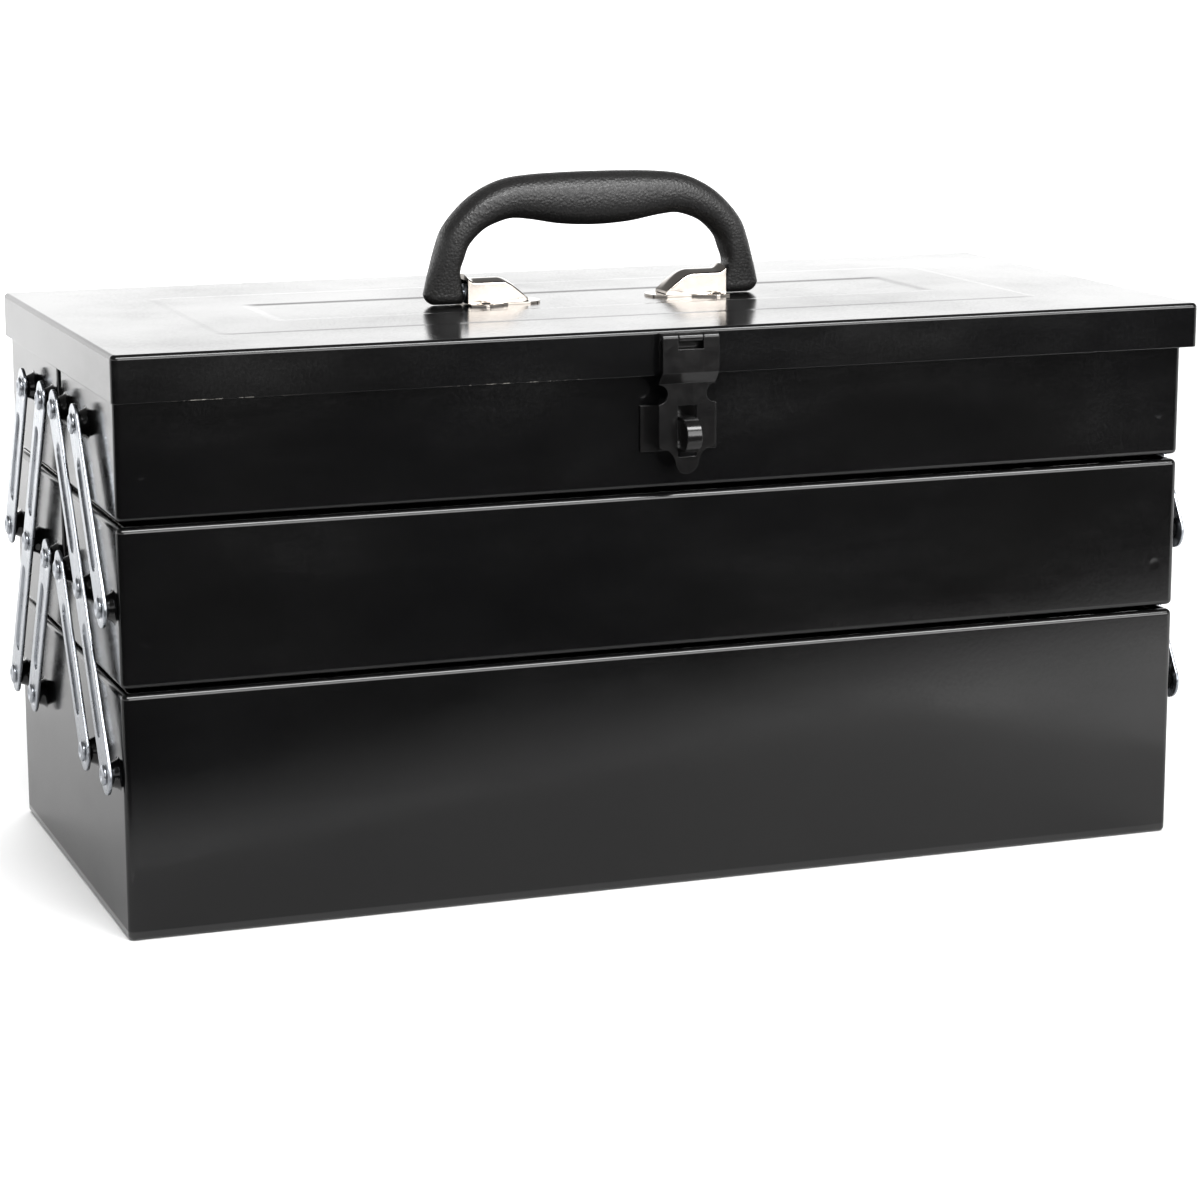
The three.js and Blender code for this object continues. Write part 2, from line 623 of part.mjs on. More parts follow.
function haspLeaf() {
  const face = HASP.y - HASP.barrel;
  const inset = face + HASP.sheet;
  const bend = HASP_JOGGLE;
  const foot = HASP_TIP.z - HASP_TIP.radius - CLEAR;
  const strip = new THREE.Shape();
  strip.moveTo(face, HASP.z);
  strip.lineTo(face, bend.top);
  strip.lineTo(face + bend.depth, bend.bottom);
  strip.lineTo(face + bend.depth, foot);
  strip.lineTo(inset + bend.depth, foot);
  strip.lineTo(inset + bend.depth, bend.bottom);
  strip.lineTo(inset, bend.top);
  strip.lineTo(inset, HASP.z);
  const left = HASP.x - HASP_HALF_WIDTH;
  const right = HASP.x + HASP_HALF_WIDTH;
  const centre = HASP_CENTRE_KNUCKLE + GAP;
  const bent = alongX(strip, left, right);
  const cut = alongY(haspOutline(), face - CLEAR, inset + bend.depth + CLEAR);
  const knuckles = [[left, HASP.x - centre], [HASP.x + centre, right]];
  const barrels = knuckles.map(([x0, x1]) => rodX(HASP.barrel, x0, x1, HASP.y, HASP.z));
  const notch = boxSolid(
    HASP.x - centre,
    HASP.x + centre,
    face - CLEAR,
    HASP.y + HASP.barrel + CLEAR,
    HASP_NOTCH_BOTTOM,
    HASP.z + HASP.barrel + CLEAR,
  );
  const bore = rodX(HASP.bore, left - CLEAR, right + CLEAR, HASP.y, HASP.z);
  return joined([bent.intersect(cut), ...barrels]).subtract(notch).subtract(bore);
}

function haspPin() {
  return rodX(HASP.pin, HASP.x - HASP_HALF_WIDTH, HASP.x + HASP_HALF_WIDTH, HASP.y, HASP.z);
}

function staplePlate() {
  const back = -HALF_DEPTH - GAP;
  const { halfWidth, bottom, top, sheet } = STAPLE_PLATE;
  return boxSolid(HASP.x - halfWidth, HASP.x + halfWidth, back - sheet, back, bottom, top);
}

// A strip bent forwards into a D, with both feet on the staple plate.
function stapleLoop() {
  const { halfWidth, bottom, top, front, sheet } = STAPLE_LOOP;
  const footY = -HALF_DEPTH - STAPLE_PLATE.sheet - 2 * GAP;
  const radius = (top - bottom) / 2;
  const centreY = front + radius;
  const centreZ = (top + bottom) / 2;
  const quarter = Math.PI / 2;
  const strip = new THREE.Shape();
  strip.moveTo(footY, top);
  strip.absarc(centreY, centreZ, radius, quarter, 3 * quarter, false);
  strip.lineTo(footY, bottom);
  strip.lineTo(footY, bottom + sheet);
  strip.absarc(centreY, centreZ, radius - sheet, 3 * quarter, quarter, true);
  strip.lineTo(footY, top - sheet);
  return alongX(strip, HASP.x - halfWidth, HASP.x + halfWidth, STAPLE_STEPS);
}

// ---- The assembly ----

const toolbox = new THREE.Group();

function place(name, body, finish) {
  const mesh = new THREE.Mesh(geometryOf(body), new THREE.MeshStandardMaterial(finish));
  mesh.name = name;
  toolbox.add(mesh);
}

const HALVES = [["front", -1], ["rear", 1]];
const ENDS = [["left", -1], ["right", 1]];
const MID_PLACES = { inner: PIVOT_INNER, middle: PIVOT_MIDDLE, outer: PIVOT_OUTER };
const TOP_PLACES = { inner: PIVOT_INNER, outer: PIVOT_MIDDLE };
const BASE_PLACES = { inner: PIVOT_MIDDLE, outer: PIVOT_OUTER };

place("base_box", baseBox(), STEEL_BLACK);
for (const [half, side] of HALVES) {
  const outer = side * PIVOT_OUTER;
  const middle = side * PIVOT_MIDDLE;
  const inner = side * PIVOT_INNER;
  const midTray = trayBox(side, MID_TRAY, Object.values(MID_PLACES), PIVOT_MID_Z);
  const topTray = trayBox(side, TOP_TRAY, Object.values(TOP_PLACES), PIVOT_TOP_Z);
  place(`${half}_mid_tray_box`, midTray, STEEL_BLACK);
  place(`${half}_top_tray_box`, topTray, STEEL_BLACK);
  const arms = {
    long_arm: [[outer, PIVOT_BASE_Z], [middle, PIVOT_MID_Z], [inner, PIVOT_TOP_Z]],
    lower_arm: [[middle, PIVOT_BASE_Z], [inner, PIVOT_MID_Z]],
    upper_arm: [[outer, PIVOT_MID_Z], [middle, PIVOT_TOP_Z]],
  };
  const levels = [
    ["base", BASE_PLACES, PIVOT_BASE_Z],
    ["mid", MID_PLACES, PIVOT_MID_Z],
    ["top", TOP_PLACES, PIVOT_TOP_Z],
  ];
  for (const [end, endSide] of ENDS) {
    for (const [name, pivots] of Object.entries(arms)) {
      place(`${half}_${name}_${end}`, arm(pivots, endSide), ZINC);
    }
    for (const [level, places, z] of levels) {
      for (const [spot, y] of Object.entries(places)) {
        place(`${half}_${level}_${spot}_rivet_${end}`, rivet(side * y, z, endSide), ZINC);
      }
    }
  }
}

place("lid_shell", lidShell(), STEEL_BLACK);
place("lid_hinge_tray_leaf", hingeTrayLeaf(), STEEL_BLACK);
place("lid_hinge_lid_leaf", hingeLidLeaf(), STEEL_BLACK);
place("lid_hinge_pin", hingePin(), ZINC);

place("handle_grip", grip(), GRIP_BLACK);
for (const [end, endSide] of ENDS) {
  place(`handle_bracket_${end}`, bracket(endSide), NICKEL);
  place(`handle_pin_${end}`, handlePin(endSide), ZINC);
}

place("hasp_plate", haspPlate(), HASP_BLACK);
place("hasp_leaf", haspLeaf(), HASP_BLACK);
place("hasp_pin", haspPin(), HASP_BLACK);
place("staple_plate", staplePlate(), HASP_BLACK);
place("staple_loop", stapleLoop(), HASP_BLACK);

export default toolbox;
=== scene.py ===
import math

import bmesh
import bpy
import numpy as np
from mathutils import Matrix, Vector, geometry


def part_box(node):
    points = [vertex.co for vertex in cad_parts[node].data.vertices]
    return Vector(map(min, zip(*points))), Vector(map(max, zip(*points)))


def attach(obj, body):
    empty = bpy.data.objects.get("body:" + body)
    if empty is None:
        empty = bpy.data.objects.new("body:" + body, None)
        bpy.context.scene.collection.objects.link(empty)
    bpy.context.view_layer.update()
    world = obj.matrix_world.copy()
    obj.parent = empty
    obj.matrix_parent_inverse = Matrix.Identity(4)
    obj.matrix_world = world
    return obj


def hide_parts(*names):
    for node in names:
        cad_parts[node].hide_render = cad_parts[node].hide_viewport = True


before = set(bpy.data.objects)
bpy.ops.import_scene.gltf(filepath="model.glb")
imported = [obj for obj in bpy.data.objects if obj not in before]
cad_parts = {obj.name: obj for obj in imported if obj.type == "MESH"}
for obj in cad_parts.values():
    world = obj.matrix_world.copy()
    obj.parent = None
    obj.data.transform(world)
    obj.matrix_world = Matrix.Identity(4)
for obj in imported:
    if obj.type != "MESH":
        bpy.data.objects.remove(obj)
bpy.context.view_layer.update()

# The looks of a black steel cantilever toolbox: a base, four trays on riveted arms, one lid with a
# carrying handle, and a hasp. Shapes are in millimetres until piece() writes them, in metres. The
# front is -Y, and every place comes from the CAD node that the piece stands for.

MM = 0.001
SHEET = 0.8
CORNER = 3.0
FILLET = 2.2
RIM = 2.6
BOSS = 4.2
BOSS_FOOT = 7.8
ARM_SHEET = 1.5
ARM_HALF = 8.5
BEAD_HALF = 3.7
BEAD_DEPTH = 0.9
BEAD_START = 20.0
ARM_FACE = 0.251
HANDLE_Y = -5.0


def extent(node):
    """A CAD node's lowest and highest corner, in millimetres."""
    low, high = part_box(node)
    return np.array(low) / MM, np.array(high) / MM


def middle(node):
    low, high = extent(node)
    return (low + high) / 2


# ---- Meshes ----


class Skin:
    """Points and faces of one mesh, gathered part by part."""

    def __init__(self):
        self.points, self.faces, self.count = [], [], 0

    def add(self, points, faces):
        points = np.asarray(points, float).reshape(-1, 3)
        self.points.append(points)
        self.faces += [[i + self.count for i in face] for face in faces]
        self.count += len(points)
        return self

    def loft(self, rings, caps=(True, True), skip=None):
        """Rings of equal count joined by quads. skip(quad's corners) leaves a quad out."""
        count = len(rings[0])
        points = np.concatenate([np.asarray(r, float) for r in rings])
        faces = []
        for r in range(len(rings) - 1):
            for i in range(count):
                a, b = r * count + i, r * count + (i + 1) % count
                quad = [a, b, b + count, a + count]
                if skip is None or not skip(points[quad]):
                    faces.append(quad)
        if caps[0]:
            faces.append(list(range(count))[::-1])
        if caps[1]:
            faces.append([len(points) - count + i for i in range(count)])
        return self.add(points, faces)

    def lathe(self, profile, axis, centre, steps=40, caps=(False, False)):
        """A profile of (radius, place along the axis) turned about an axis through centre."""
        turn = np.linspace(0, 2 * math.pi, steps, endpoint=False)
        u, v, w = {"x": (1, 2, 0), "y": (2, 0, 1), "z": (0, 1, 2)}[axis]
        rings = []
        for radius, along in profile:
            ring = np.zeros((steps, 3))
            ring[:, u] = centre[u] + radius * np.cos(turn)
            ring[:, v] = centre[v] + radius * np.sin(turn)
            ring[:, w] = centre[w] + along
            rings.append(ring)
        return self.loft(rings, caps)

    def slab(self, outline, holes, low, high, place, folds=()):
        """A flat plate with holes. place(u, v, t) puts a point of the outline at thickness t. Folds
        are pairs of outline points to be joined by an edge."""
        spread, tris = triangles(outline, holes, folds)
        many = len(spread)
        points = [place(u, v, t) for t in (low, high) for u, v in spread]
        faces = [list(t) for t in tris] + [[i + many for i in t][::-1] for t in tris]
        used = {}
        for t in tris:
            for a, b in zip(t, [*t[1:], t[0]]):
                used[a, b] = True
        for a, b in used:
            if (b, a) not in used:
                faces.append([b, a, a + many, b + many])
        return self.add(points, faces)


def inside(point, loops):
    """Is a point inside the first loop and outside the others? Counts crossings over them all."""
    odd = False
    x, y = point
    for loop in loops:
        for (x0, y0), (x1, y1) in zip(loop, np.roll(loop, -1, axis=0)):
            if (y0 > y) != (y1 > y) and x < x0 + (y - y0) * (x1 - x0) / (y1 - y0):
                odd = not odd
    return odd


def triangles(outline, holes, folds=()):
    """The points and triangles of a flat outline with holes. Each fold is kept as an edge."""
    loops = [np.asarray(loop, float) for loop in [outline, *holes]]
    flat = np.concatenate(loops)
    starts = np.cumsum([0] + [len(loop) for loop in loops])
    edges = [
        (s + i, s + (i + 1) % len(loop)) for s, loop in zip(starts, loops) for i in range(len(loop))
    ]
    for fold in folds:
        edges.append(tuple(int(np.argmin(np.hypot(*(flat - end).T))) for end in fold))
    corners = [Vector((float(u), float(v))) for u, v in flat]
    found = geometry.delaunay_2d_cdt(corners, edges, [], 0, 1e-6)
    tris = [t for t in found[2] if inside(np.mean([found[0][i] for i in t], axis=0), loops)]
    return [(p[0], p[1]) for p in found[0]], tris


def piece(name, skin, body, nodes, slot, material, bevel=0.0, segments=2, angle=32.0, at=None):
    """Makes the mesh, gives it its bevel and normals, hangs it on its body and hides the CAD nodes
    it stands for.
    """
    mesh = skin if isinstance(skin, bpy.types.Mesh) else mesh_of(name, skin, material, bevel, angle)
    obj = bpy.data.objects.new(name, mesh)
    bpy.context.scene.collection.objects.link(obj)
    if at is not None:
        obj.location = Vector(at) * MM
    if bevel:
        rounding = obj.modifiers.new("edges", "BEVEL")
        rounding.width = bevel * MM
        rounding.segments = segments
        rounding.limit_method = "ANGLE"
        rounding.angle_limit = math.radians(angle)
        rounding.harden_normals = False
    weighted = obj.modifiers.new("normals", "WEIGHTED_NORMAL")
    weighted.keep_sharp = True
    weighted.weight = 90
    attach(obj, body)
    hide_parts(*nodes)
    return obj


def extra(name, skin, body, material, bevel=0.0):
    """A piece beside one that already stands for the CAD node."""
    obj = bpy.data.objects.new(name, mesh_of(name, skin, material, bevel))
    bpy.context.scene.collection.objects.link(obj)
    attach(obj, body)
    return obj


def mesh_of(name, skin, material, bevel=0.0, angle=32.0):
    mesh = bpy.data.meshes.new(name)
    mesh.from_pydata(np.concatenate(skin.points) * MM, [], skin.faces)
    edit = bmesh.new()
    edit.from_mesh(mesh)
    bmesh.ops.remove_doubles(edit, verts=edit.verts, dist=2e-6)
    if bevel:
        bmesh.ops.dissolve_limit(
            edit, angle_limit=math.radians(0.5), verts=edit.verts, edges=edit.edges
        )
    bmesh.ops.recalc_face_normals(edit, faces=edit.faces)
    edit.to_mesh(mesh)
    edit.free()
    mesh.shade_smooth()
    if not bevel:
        mesh.set_sharp_from_angle(angle=math.radians(angle))
    mesh.materials.append(material)
    return mesh


def arc(centre, radius, start, end, steps):
    """Points on an arc in its plane. The angles are in degrees."""
    turn = np.radians(np.linspace(start, end, steps + 1))
    return [
        (centre[0] + radius * math.cos(t), centre[1] + radius * math.sin(t)) for t in turn
    ]


def circle(centre, radius, steps):
    """Points round a whole circle."""
    return arc(centre, radius, 0, 360 - 360 / steps, steps - 1)


def bezier(a, b, c, steps=8):
    """Points on a quadratic curve from a to c with its handle at b, without the first."""
    a, b, c = (np.array(p, float) for p in (a, b, c))
    ts = np.linspace(0, 1, steps + 1)[1:]
    return [tuple((1 - t) ** 2 * a + 2 * t * (1 - t) * b + t * t * c) for t in ts]


def rounded_ring(x0, x1, y0, y1, radius, z, steps=7):
    """A rounded rectangle, anticlockwise from above."""
    ring = []
    for x, y, quarter in ((x1, y0, -1), (x1, y1, 0), (x0, y1, 1), (x0, y0, 2)):
        cx = x - radius if x == x1 else x + radius
        cy = y - radius if y == y1 else y + radius
        for i in range(steps + 1):
            t = (quarter + i / steps) * math.pi / 2
            ring.append((cx + radius * math.cos(t), cy + radius * math.sin(t), z))
    return np.array(ring)


# ---- Materials ----


class Nodes:
    """A short way to build a material's node tree."""

    def __init__(self, name):
        self.material = bpy.data.materials.new(name)
        self.material.use_nodes = True
        self.tree = self.material.node_tree
        self.shader = self.tree.nodes["Principled BSDF"]
        self.place = self.tree.nodes.new("ShaderNodeTexCoord").outputs["Object"]

    def set(self, **values):
        for key, value in values.items():
            self.shader.inputs[key.replace("_", " ")].default_value = value

    def link(self, source, target):
        self.tree.links.new(source, target)

    def node(self, kind, **inputs):
        made = self.tree.nodes.new(kind)
        for key, value in inputs.items():
            made.inputs[key.replace("_", " ")].default_value = value
        return made

    def stretched(self, scale):
        mapping = self.node("ShaderNodeMapping", Scale=scale)
        self.link(self.place, mapping.inputs["Vector"])
        return mapping.outputs["Vector"]

    def noise(self, scale, detail=2.0, rough=0.5, vector=None):
        made = self.node("ShaderNodeTexNoise", Scale=scale, Detail=detail, Roughness=rough)
        self.link(vector or self.place, made.inputs["Vector"])
        return made.outputs["Fac"]

    def cells(self, scale, feature="F1", vector=None, smooth=None):
        made = self.node("ShaderNodeTexVoronoi", Scale=scale)
        made.feature = feature
        if smooth is not None:
            made.inputs["Smoothness"].default_value = smooth
        self.link(vector or self.place, made.inputs["Vector"])
        return made.outputs["Distance"]

    def ramp(self, value, stops):
        made = self.tree.nodes.new("ShaderNodeValToRGB")
        elements = made.color_ramp.elements
        while len(elements) < len(stops):
            elements.new(1.0)
        for element, (at, colour) in zip(elements, stops):
            element.position = at
            rgb = colour if isinstance(colour, (tuple, list)) else (colour,) * 3
            element.color = (*rgb, 1.0)
        self.link(value, made.inputs["Fac"])
        return made.outputs["Color"]

    def span(self, value, low, high, to_low, to_high):
        made = self.tree.nodes.new("ShaderNodeMapRange")
        made.inputs["From Min"].default_value = low
        made.inputs["From Max"].default_value = high
        made.inputs["To Min"].default_value = to_low
        made.inputs["To Max"].default_value = to_high
        self.link(value, made.inputs["Value"])
        return made.outputs["Result"]

    def math(self, operation, a, b):
        made = self.tree.nodes.new("ShaderNodeMath")
        made.operation = operation
        for socket, value in zip(made.inputs, (a, b)):
            if isinstance(value, (int, float)):
                socket.default_value = value
            else:
                self.link(value, socket)
        return made.outputs["Value"]

    def bump(self, height, distance, strength=1.0, normal=None):
        made = self.node("ShaderNodeBump", Distance=distance, Strength=strength)
        self.link(height, made.inputs["Height"])
        if normal is not None:
            self.link(normal, made.inputs["Normal"])
        return made.outputs["Normal"]

    def finish(self, colour=None, rough=None, normal=None):
        for socket, value in (("Base Color", colour), ("Roughness", rough), ("Normal", normal)):
            if value is not None:
                self.link(value, self.shader.inputs[socket])
        return self.material


def gloss_black(name, hem_marks_below=None):
    """Stoved enamel on sheet steel: orange peel, slow waves in the sheet, faint wipe marks. Below a
    given height, short light-grey dashes are painted on the hem on the left: partly worn paint
    showing bare metal, partly a painted highlight along the hem's edge."""
    n = Nodes(name)
    n.set(Metallic=0.0, IOR=1.5)
    tints = [(0.3, (0.0015, 0.0015, 0.0017)), (0.7, (0.0028, 0.0027, 0.0026))]
    tint = n.ramp(n.noise(5.0, 3.0), tints)
    wipes = n.noise(9.0, 3.0, 0.6, n.stretched((1.0, 1.0, 2.6)))
    specks = n.noise(850.0, 2.0)
    rough = n.math("ADD", n.span(wipes, 0.35, 0.75, 0.1, 0.2), n.span(specks, 0.4, 0.8, 0.0, 0.05))
    waves = n.bump(n.noise(7.0, 1.0), 0.0004, 0.5)
    peel = n.bump(n.noise(520.0, 2.0, 0.45), 0.00002, 0.55, waves)
    if hem_marks_below is not None:
        split = n.node("ShaderNodeSeparateXYZ")
        n.link(n.place, split.inputs[0])
        # Painted highlight and wear: light grey is mixed into the hem's lower edge in dashes, on
        # the left only.
        low = n.span(split.outputs["Z"], hem_marks_below, hem_marks_below - 0.0003, 0.0, 1.0)
        dashes = n.span(n.noise(190.0, 4.0, 0.7), 0.5, 0.62, 0.0, 1.0)
        patches = n.span(n.noise(9.0, 1.0), 0.46, 0.62, 0.0, 1.0)
        left_patches = n.math("MULTIPLY", patches, n.span(split.outputs["X"], -0.12, -0.04, 1.0, 0.0))
        hem_wear_and_highlight = n.math("MULTIPLY", low, n.math("MULTIPLY", dashes, left_patches))
        bare_metal_and_highlight = n.node("ShaderNodeMix")
        bare_metal_and_highlight.data_type = "RGBA"
        sockets = [s for s in bare_metal_and_highlight.inputs if s.type == "RGBA"]
        n.link(hem_wear_and_highlight, bare_metal_and_highlight.inputs["Factor"])
        n.link(tint, sockets[0])
        sockets[1].default_value = (0.42, 0.4, 0.36, 1)
        tint = next(s for s in bare_metal_and_highlight.outputs if s.type == "RGBA")
    return n.finish(tint, rough, peel)


def satin_black():
    """Thicker powder paint on the hasp and staple."""
    n = Nodes("satin_black_paint")
    n.set(Metallic=0.0, IOR=1.5)
    tints = [(0.3, (0.0034, 0.0033, 0.0034)), (0.7, (0.0056, 0.0053, 0.0052))]
    tint = n.ramp(n.noise(60.0, 3.0), tints)
    rough = n.span(n.noise(240.0, 3.0), 0.3, 0.7, 0.15, 0.21)
    peel = n.bump(n.noise(1300.0, 2.0), 0.000012, 0.5)
    return n.finish(tint, rough, peel)


def zinc():
    """Bright bluish zinc plate with faint streaks, cloudy spots and fine scratches, and painted
    shade darkening it inward of the arms' outer face, in the pressed bead.
    """
    n = Nodes("bright_zinc_plate")
    n.set(Metallic=1.0)
    clouds = n.noise(70.0, 3.0, 0.5)
    # Painted shade: a darker tone wherever the object's x lies inward of the arms' outer face. That
    # is the pressed bead's recess, and every zinc part nearer the middle.
    depth = n.node("ShaderNodeSeparateXYZ")
    n.link(n.place, depth.inputs[0])
    sunk = n.math("ABSOLUTE", depth.outputs["X"], 0.0)
    painted_bead_shade = n.span(sunk, ARM_FACE - BEAD_DEPTH * MM, ARM_FACE - 0.2 * MM, 1.0, 0.0)
    shade = n.math("SUBTRACT", clouds, n.math("MULTIPLY", painted_bead_shade, 0.3))
    tints = [(0.05, (0.2, 0.21, 0.23)), (0.35, (0.36, 0.38, 0.41)), (0.75, (0.42, 0.44, 0.47))]
    tint = n.ramp(shade, tints)
    scratches = n.noise(420.0, 2.0, 0.6, n.stretched((1.0, 1.0, 0.12)))
    rough = n.math(
        "ADD", n.span(clouds, 0.3, 0.7, 0.2, 0.32), n.span(scratches, 0.45, 0.8, 0.0, 0.1)
    )
    marks = n.bump(scratches, 0.00002, 0.5)
    return n.finish(tint, rough, n.bump(n.noise(300.0, 3.0), 0.00004, 0.4, marks))


def nickel():
    """Polished nickel plate, a little uneven from pressing."""
    n = Nodes("polished_nickel_plate")
    n.set(Metallic=1.0)
    tint = n.ramp(n.noise(120.0, 3.0), [(0.3, (0.33, 0.3, 0.272)), (0.7, (0.4, 0.368, 0.335))])
    rough = n.span(n.noise(260.0, 3.0), 0.3, 0.7, 0.05, 0.13)
    return n.finish(tint, rough, n.bump(n.noise(90.0, 2.0), 0.00012, 0.35))


def grained_grip():
    """Soft moulded plastic with a leather grain: rounded pebbles, worn smoother on the crowns."""
    n = Nodes("grained_black_grip")
    n.set(Metallic=0.0, IOR=1.48)
    drift = n.node("ShaderNodeTexNoise", Scale=420.0, Detail=2.0)
    n.link(n.place, drift.inputs["Vector"])
    mix = n.tree.nodes.new("ShaderNodeMix")
    mix.data_type = "VECTOR"
    mix.inputs["Factor"].default_value = 0.0012
    still, moved = [s for s in mix.inputs if s.type == "VECTOR"][1:]
    n.link(n.place, still)
    n.link(drift.outputs["Color"], moved)
    shifted = next(s for s in mix.outputs if s.type == "VECTOR")
    pebbles = n.cells(780.0, "SMOOTH_F1", shifted, 0.3)
    creases = n.noise(240.0, 4.0, 0.6)
    height = n.math("SUBTRACT", n.math("MULTIPLY", creases, 0.5), pebbles)
    tint = n.ramp(pebbles, [(0.1, (0.0115, 0.011, 0.0107)), (0.75, (0.0055, 0.0053, 0.0053))])
    crowns = n.span(pebbles, 0.1, 0.8, 0.33, 0.5)
    rough = n.math("ADD", crowns, n.span(creases, 0.3, 0.7, -0.04, 0.04))
    return n.finish(tint, rough, n.bump(height, 0.0002, 0.8))


PAINT = gloss_black("gloss_black_enamel")
# The lid's hem gets light-grey dashes: worn bare metal and a painted highlight.
LID_PAINT = gloss_black("black_enamel_worn_and_highlit_hem", 0.2286)
HASP_PAINT = satin_black()
ZINC = zinc()
NICKEL = nickel()
GRIP = grained_grip()


# ---- The camera ----

YAW, PITCH, ROLL = 0.351298, 0.206217, -0.0018272
EYE = (-0.53045, -1.46133, 0.43151)


def make_camera():
    forward = Vector(
        (math.sin(YAW) * math.cos(PITCH), math.cos(YAW) * math.cos(PITCH), -math.sin(PITCH))
    )
    level = Vector((math.cos(YAW), -math.sin(YAW), 0))
    upright = level.cross(forward)
    right = math.cos(ROLL) * level + math.sin(ROLL) * upright
    up = -math.sin(ROLL) * level + math.cos(ROLL) * upright
    data = bpy.data.cameras.new("camera")
    data.sensor_width = 36.0
    data.lens = 102.392
    camera = bpy.data.objects.new("camera", data)
    turn = Matrix((right, up, -forward)).transposed().to_4x4()
    camera.matrix_world = Matrix.Translation(EYE) @ turn
    bpy.context.scene.collection.objects.link(camera)
    bpy.context.scene.camera = camera


make_camera()


# ---- The boxes ----


def box_rings(x0, x1, y0, y1, z0, z1):
    """The outer and inner skin of an open box from the middle of its underside round its rolled
    rim to the middle of its floor."""

    def ring(inset, z):
        radius = max(CORNER - inset, 0.3)
        return rounded_ring(x0 + inset, x1 - inset, y0 + inset, y1 - inset, radius, z)

    def roll(radius, angles):
        for t in np.radians(angles):
            yield ring(RIM + radius * math.cos(t), z1 - RIM + radius * math.sin(t))

    def bend(radius, centre, angles):
        for t in np.radians(angles):
            yield ring(centre - radius * math.cos(t), z0 + FILLET - radius * math.sin(t))

    turn = np.linspace(180, -50, 15)
    return [
        *bend(FILLET, FILLET, np.linspace(90, 0, 6)),
        *roll(RIM, turn),
        *roll(RIM - SHEET, turn[::-1]),
        *bend(FILLET - SHEET, FILLET, np.linspace(0, 90, 5)),
    ]


def pressed_wall(skin, x, side, y0, y1, z0, z1, pivots, radius, profile):
    """A flat end wall with a pressed cone at each pivot."""
    steps = 40
    holes = [circle(p, radius, steps) for p in pivots]
    corners = [(y0, z0), (y1, z0), (y1, z1), (y0, z1)]
    points, tris = triangles(corners, holes)
    skin.add([(x, u, v) for u, v in points], tris)
    for y, z in pivots:
        cone = [(r, side * out) for r, out in profile]
        skin.lathe(cone, "x", (x, y, z), steps, caps=(False, True))


WELD_DIMPLE = [(3.2, 0.0), (2.6, -0.008), (2.0, -0.045), (1.3, -0.09), (0.6, -0.11), (0.2, -0.11)]
WELD_INSET = 10.5
WELD_SHARE = 0.28


def dimpled_wall(skin, y, side, x1, z0, z1, level):
    """A flat front or rear wall with a shallow spot-weld dimple near each end."""
    steps = 24
    spots = [(-x1 + WELD_INSET, level), (x1 - WELD_INSET, level)]
    holes = [circle(p, WELD_DIMPLE[0][0], steps) for p in spots]
    reach = x1 - CORNER
    corners = [(-reach, z0), (reach, z0), (reach, z1), (-reach, z1)]
    points, tris = triangles(corners, holes)
    skin.add([(u, y, v) for u, v in points], tris)
    for x, z in spots:
        rings = []
        for radius, out in WELD_DIMPLE:
            turned = circle((x, z), radius, steps)
            rings.append(np.array([(u, y + side * out, v) for u, v in turned]))
        skin.loft(rings, caps=(False, True))


OUTER_CONE = [
    (BOSS_FOOT, 0.0), (7.2, 0.1), (6.6, 0.4), (6.1, 0.95), (5.65, 1.8), (5.3, 2.7),
    (5.0, 3.5), (4.8, 3.95), (4.55, 4.15), (4.2, BOSS), (2.0, BOSS),
]  # fmt: skip
INNER_CONE = [(6.4, 0.0), (5.9, 0.15), (5.4, 0.7), (4.9, 1.7), (4.4, 2.8), (3.7, 3.5), (2.0, 3.5)]


def open_box(name, body, pivots):
    low, high = extent(name)
    x1 = high[0] - BOSS
    rings = box_rings(-x1, x1, low[1], high[1], low[2], high[2])

    dimpled = [(y, side) for y, side in ((low[1], -1), (high[1], 1)) if abs(y) > 20 and low[2] > 1]

    def is_replaced(quad):
        tall = np.ptp(quad[:, 2]) > 20
        is_end = np.ptp(quad[:, 1]) > 20 and np.ptp(quad[:, 0]) < 0.01
        is_wall = any(np.ptp(quad[:, 0]) > 20 and np.all(quad[:, 1] == y) for y, _ in dimpled)
        return tall and (is_end or is_wall)

    skin = Skin().loft(rings, skip=is_replaced)
    for y, side in dimpled:
        wall = (low[2] + FILLET, high[2] - RIM)
        dimpled_wall(skin, y, side, x1, *wall, wall[0] + WELD_SHARE * (wall[1] - wall[0]))
    for side in (-1, 1):
        for inset, cone, foot in ((0, OUTER_CONE, BOSS_FOOT), (SHEET, INNER_CONE, 6.4)):
            pressed_wall(
                skin,
                side * (x1 - inset),
                side,
                low[1] + CORNER,
                high[1] - CORNER,
                low[2] + FILLET,
                high[2] - RIM,
                pivots,
                foot,
                cone,
            )
    return piece(f"painted_{name}", skin, body, [name], "gloss_black_paint", PAINT)


SPOTS = {
    "base": ("inner", "outer"),
    "mid": ("inner", "middle", "outer"),
    "top": ("inner", "outer"),
}


def pivots_of(half, level):
    """(Y, Z) of a level's pivots, from its left rivets."""
    return [tuple(middle(f"{half}_{level}_{spot}_rivet_left")[1:]) for spot in SPOTS[level]]


open_box("base_box", "base", pivots_of("front", "base") + pivots_of("rear", "base"))
for half in ("front", "rear"):
    for level in ("mid", "top"):
        open_box(f"{half}_{level}_tray_box", f"{half}_{level}_tray", pivots_of(half, level))


# ---- Arms and rivets ----


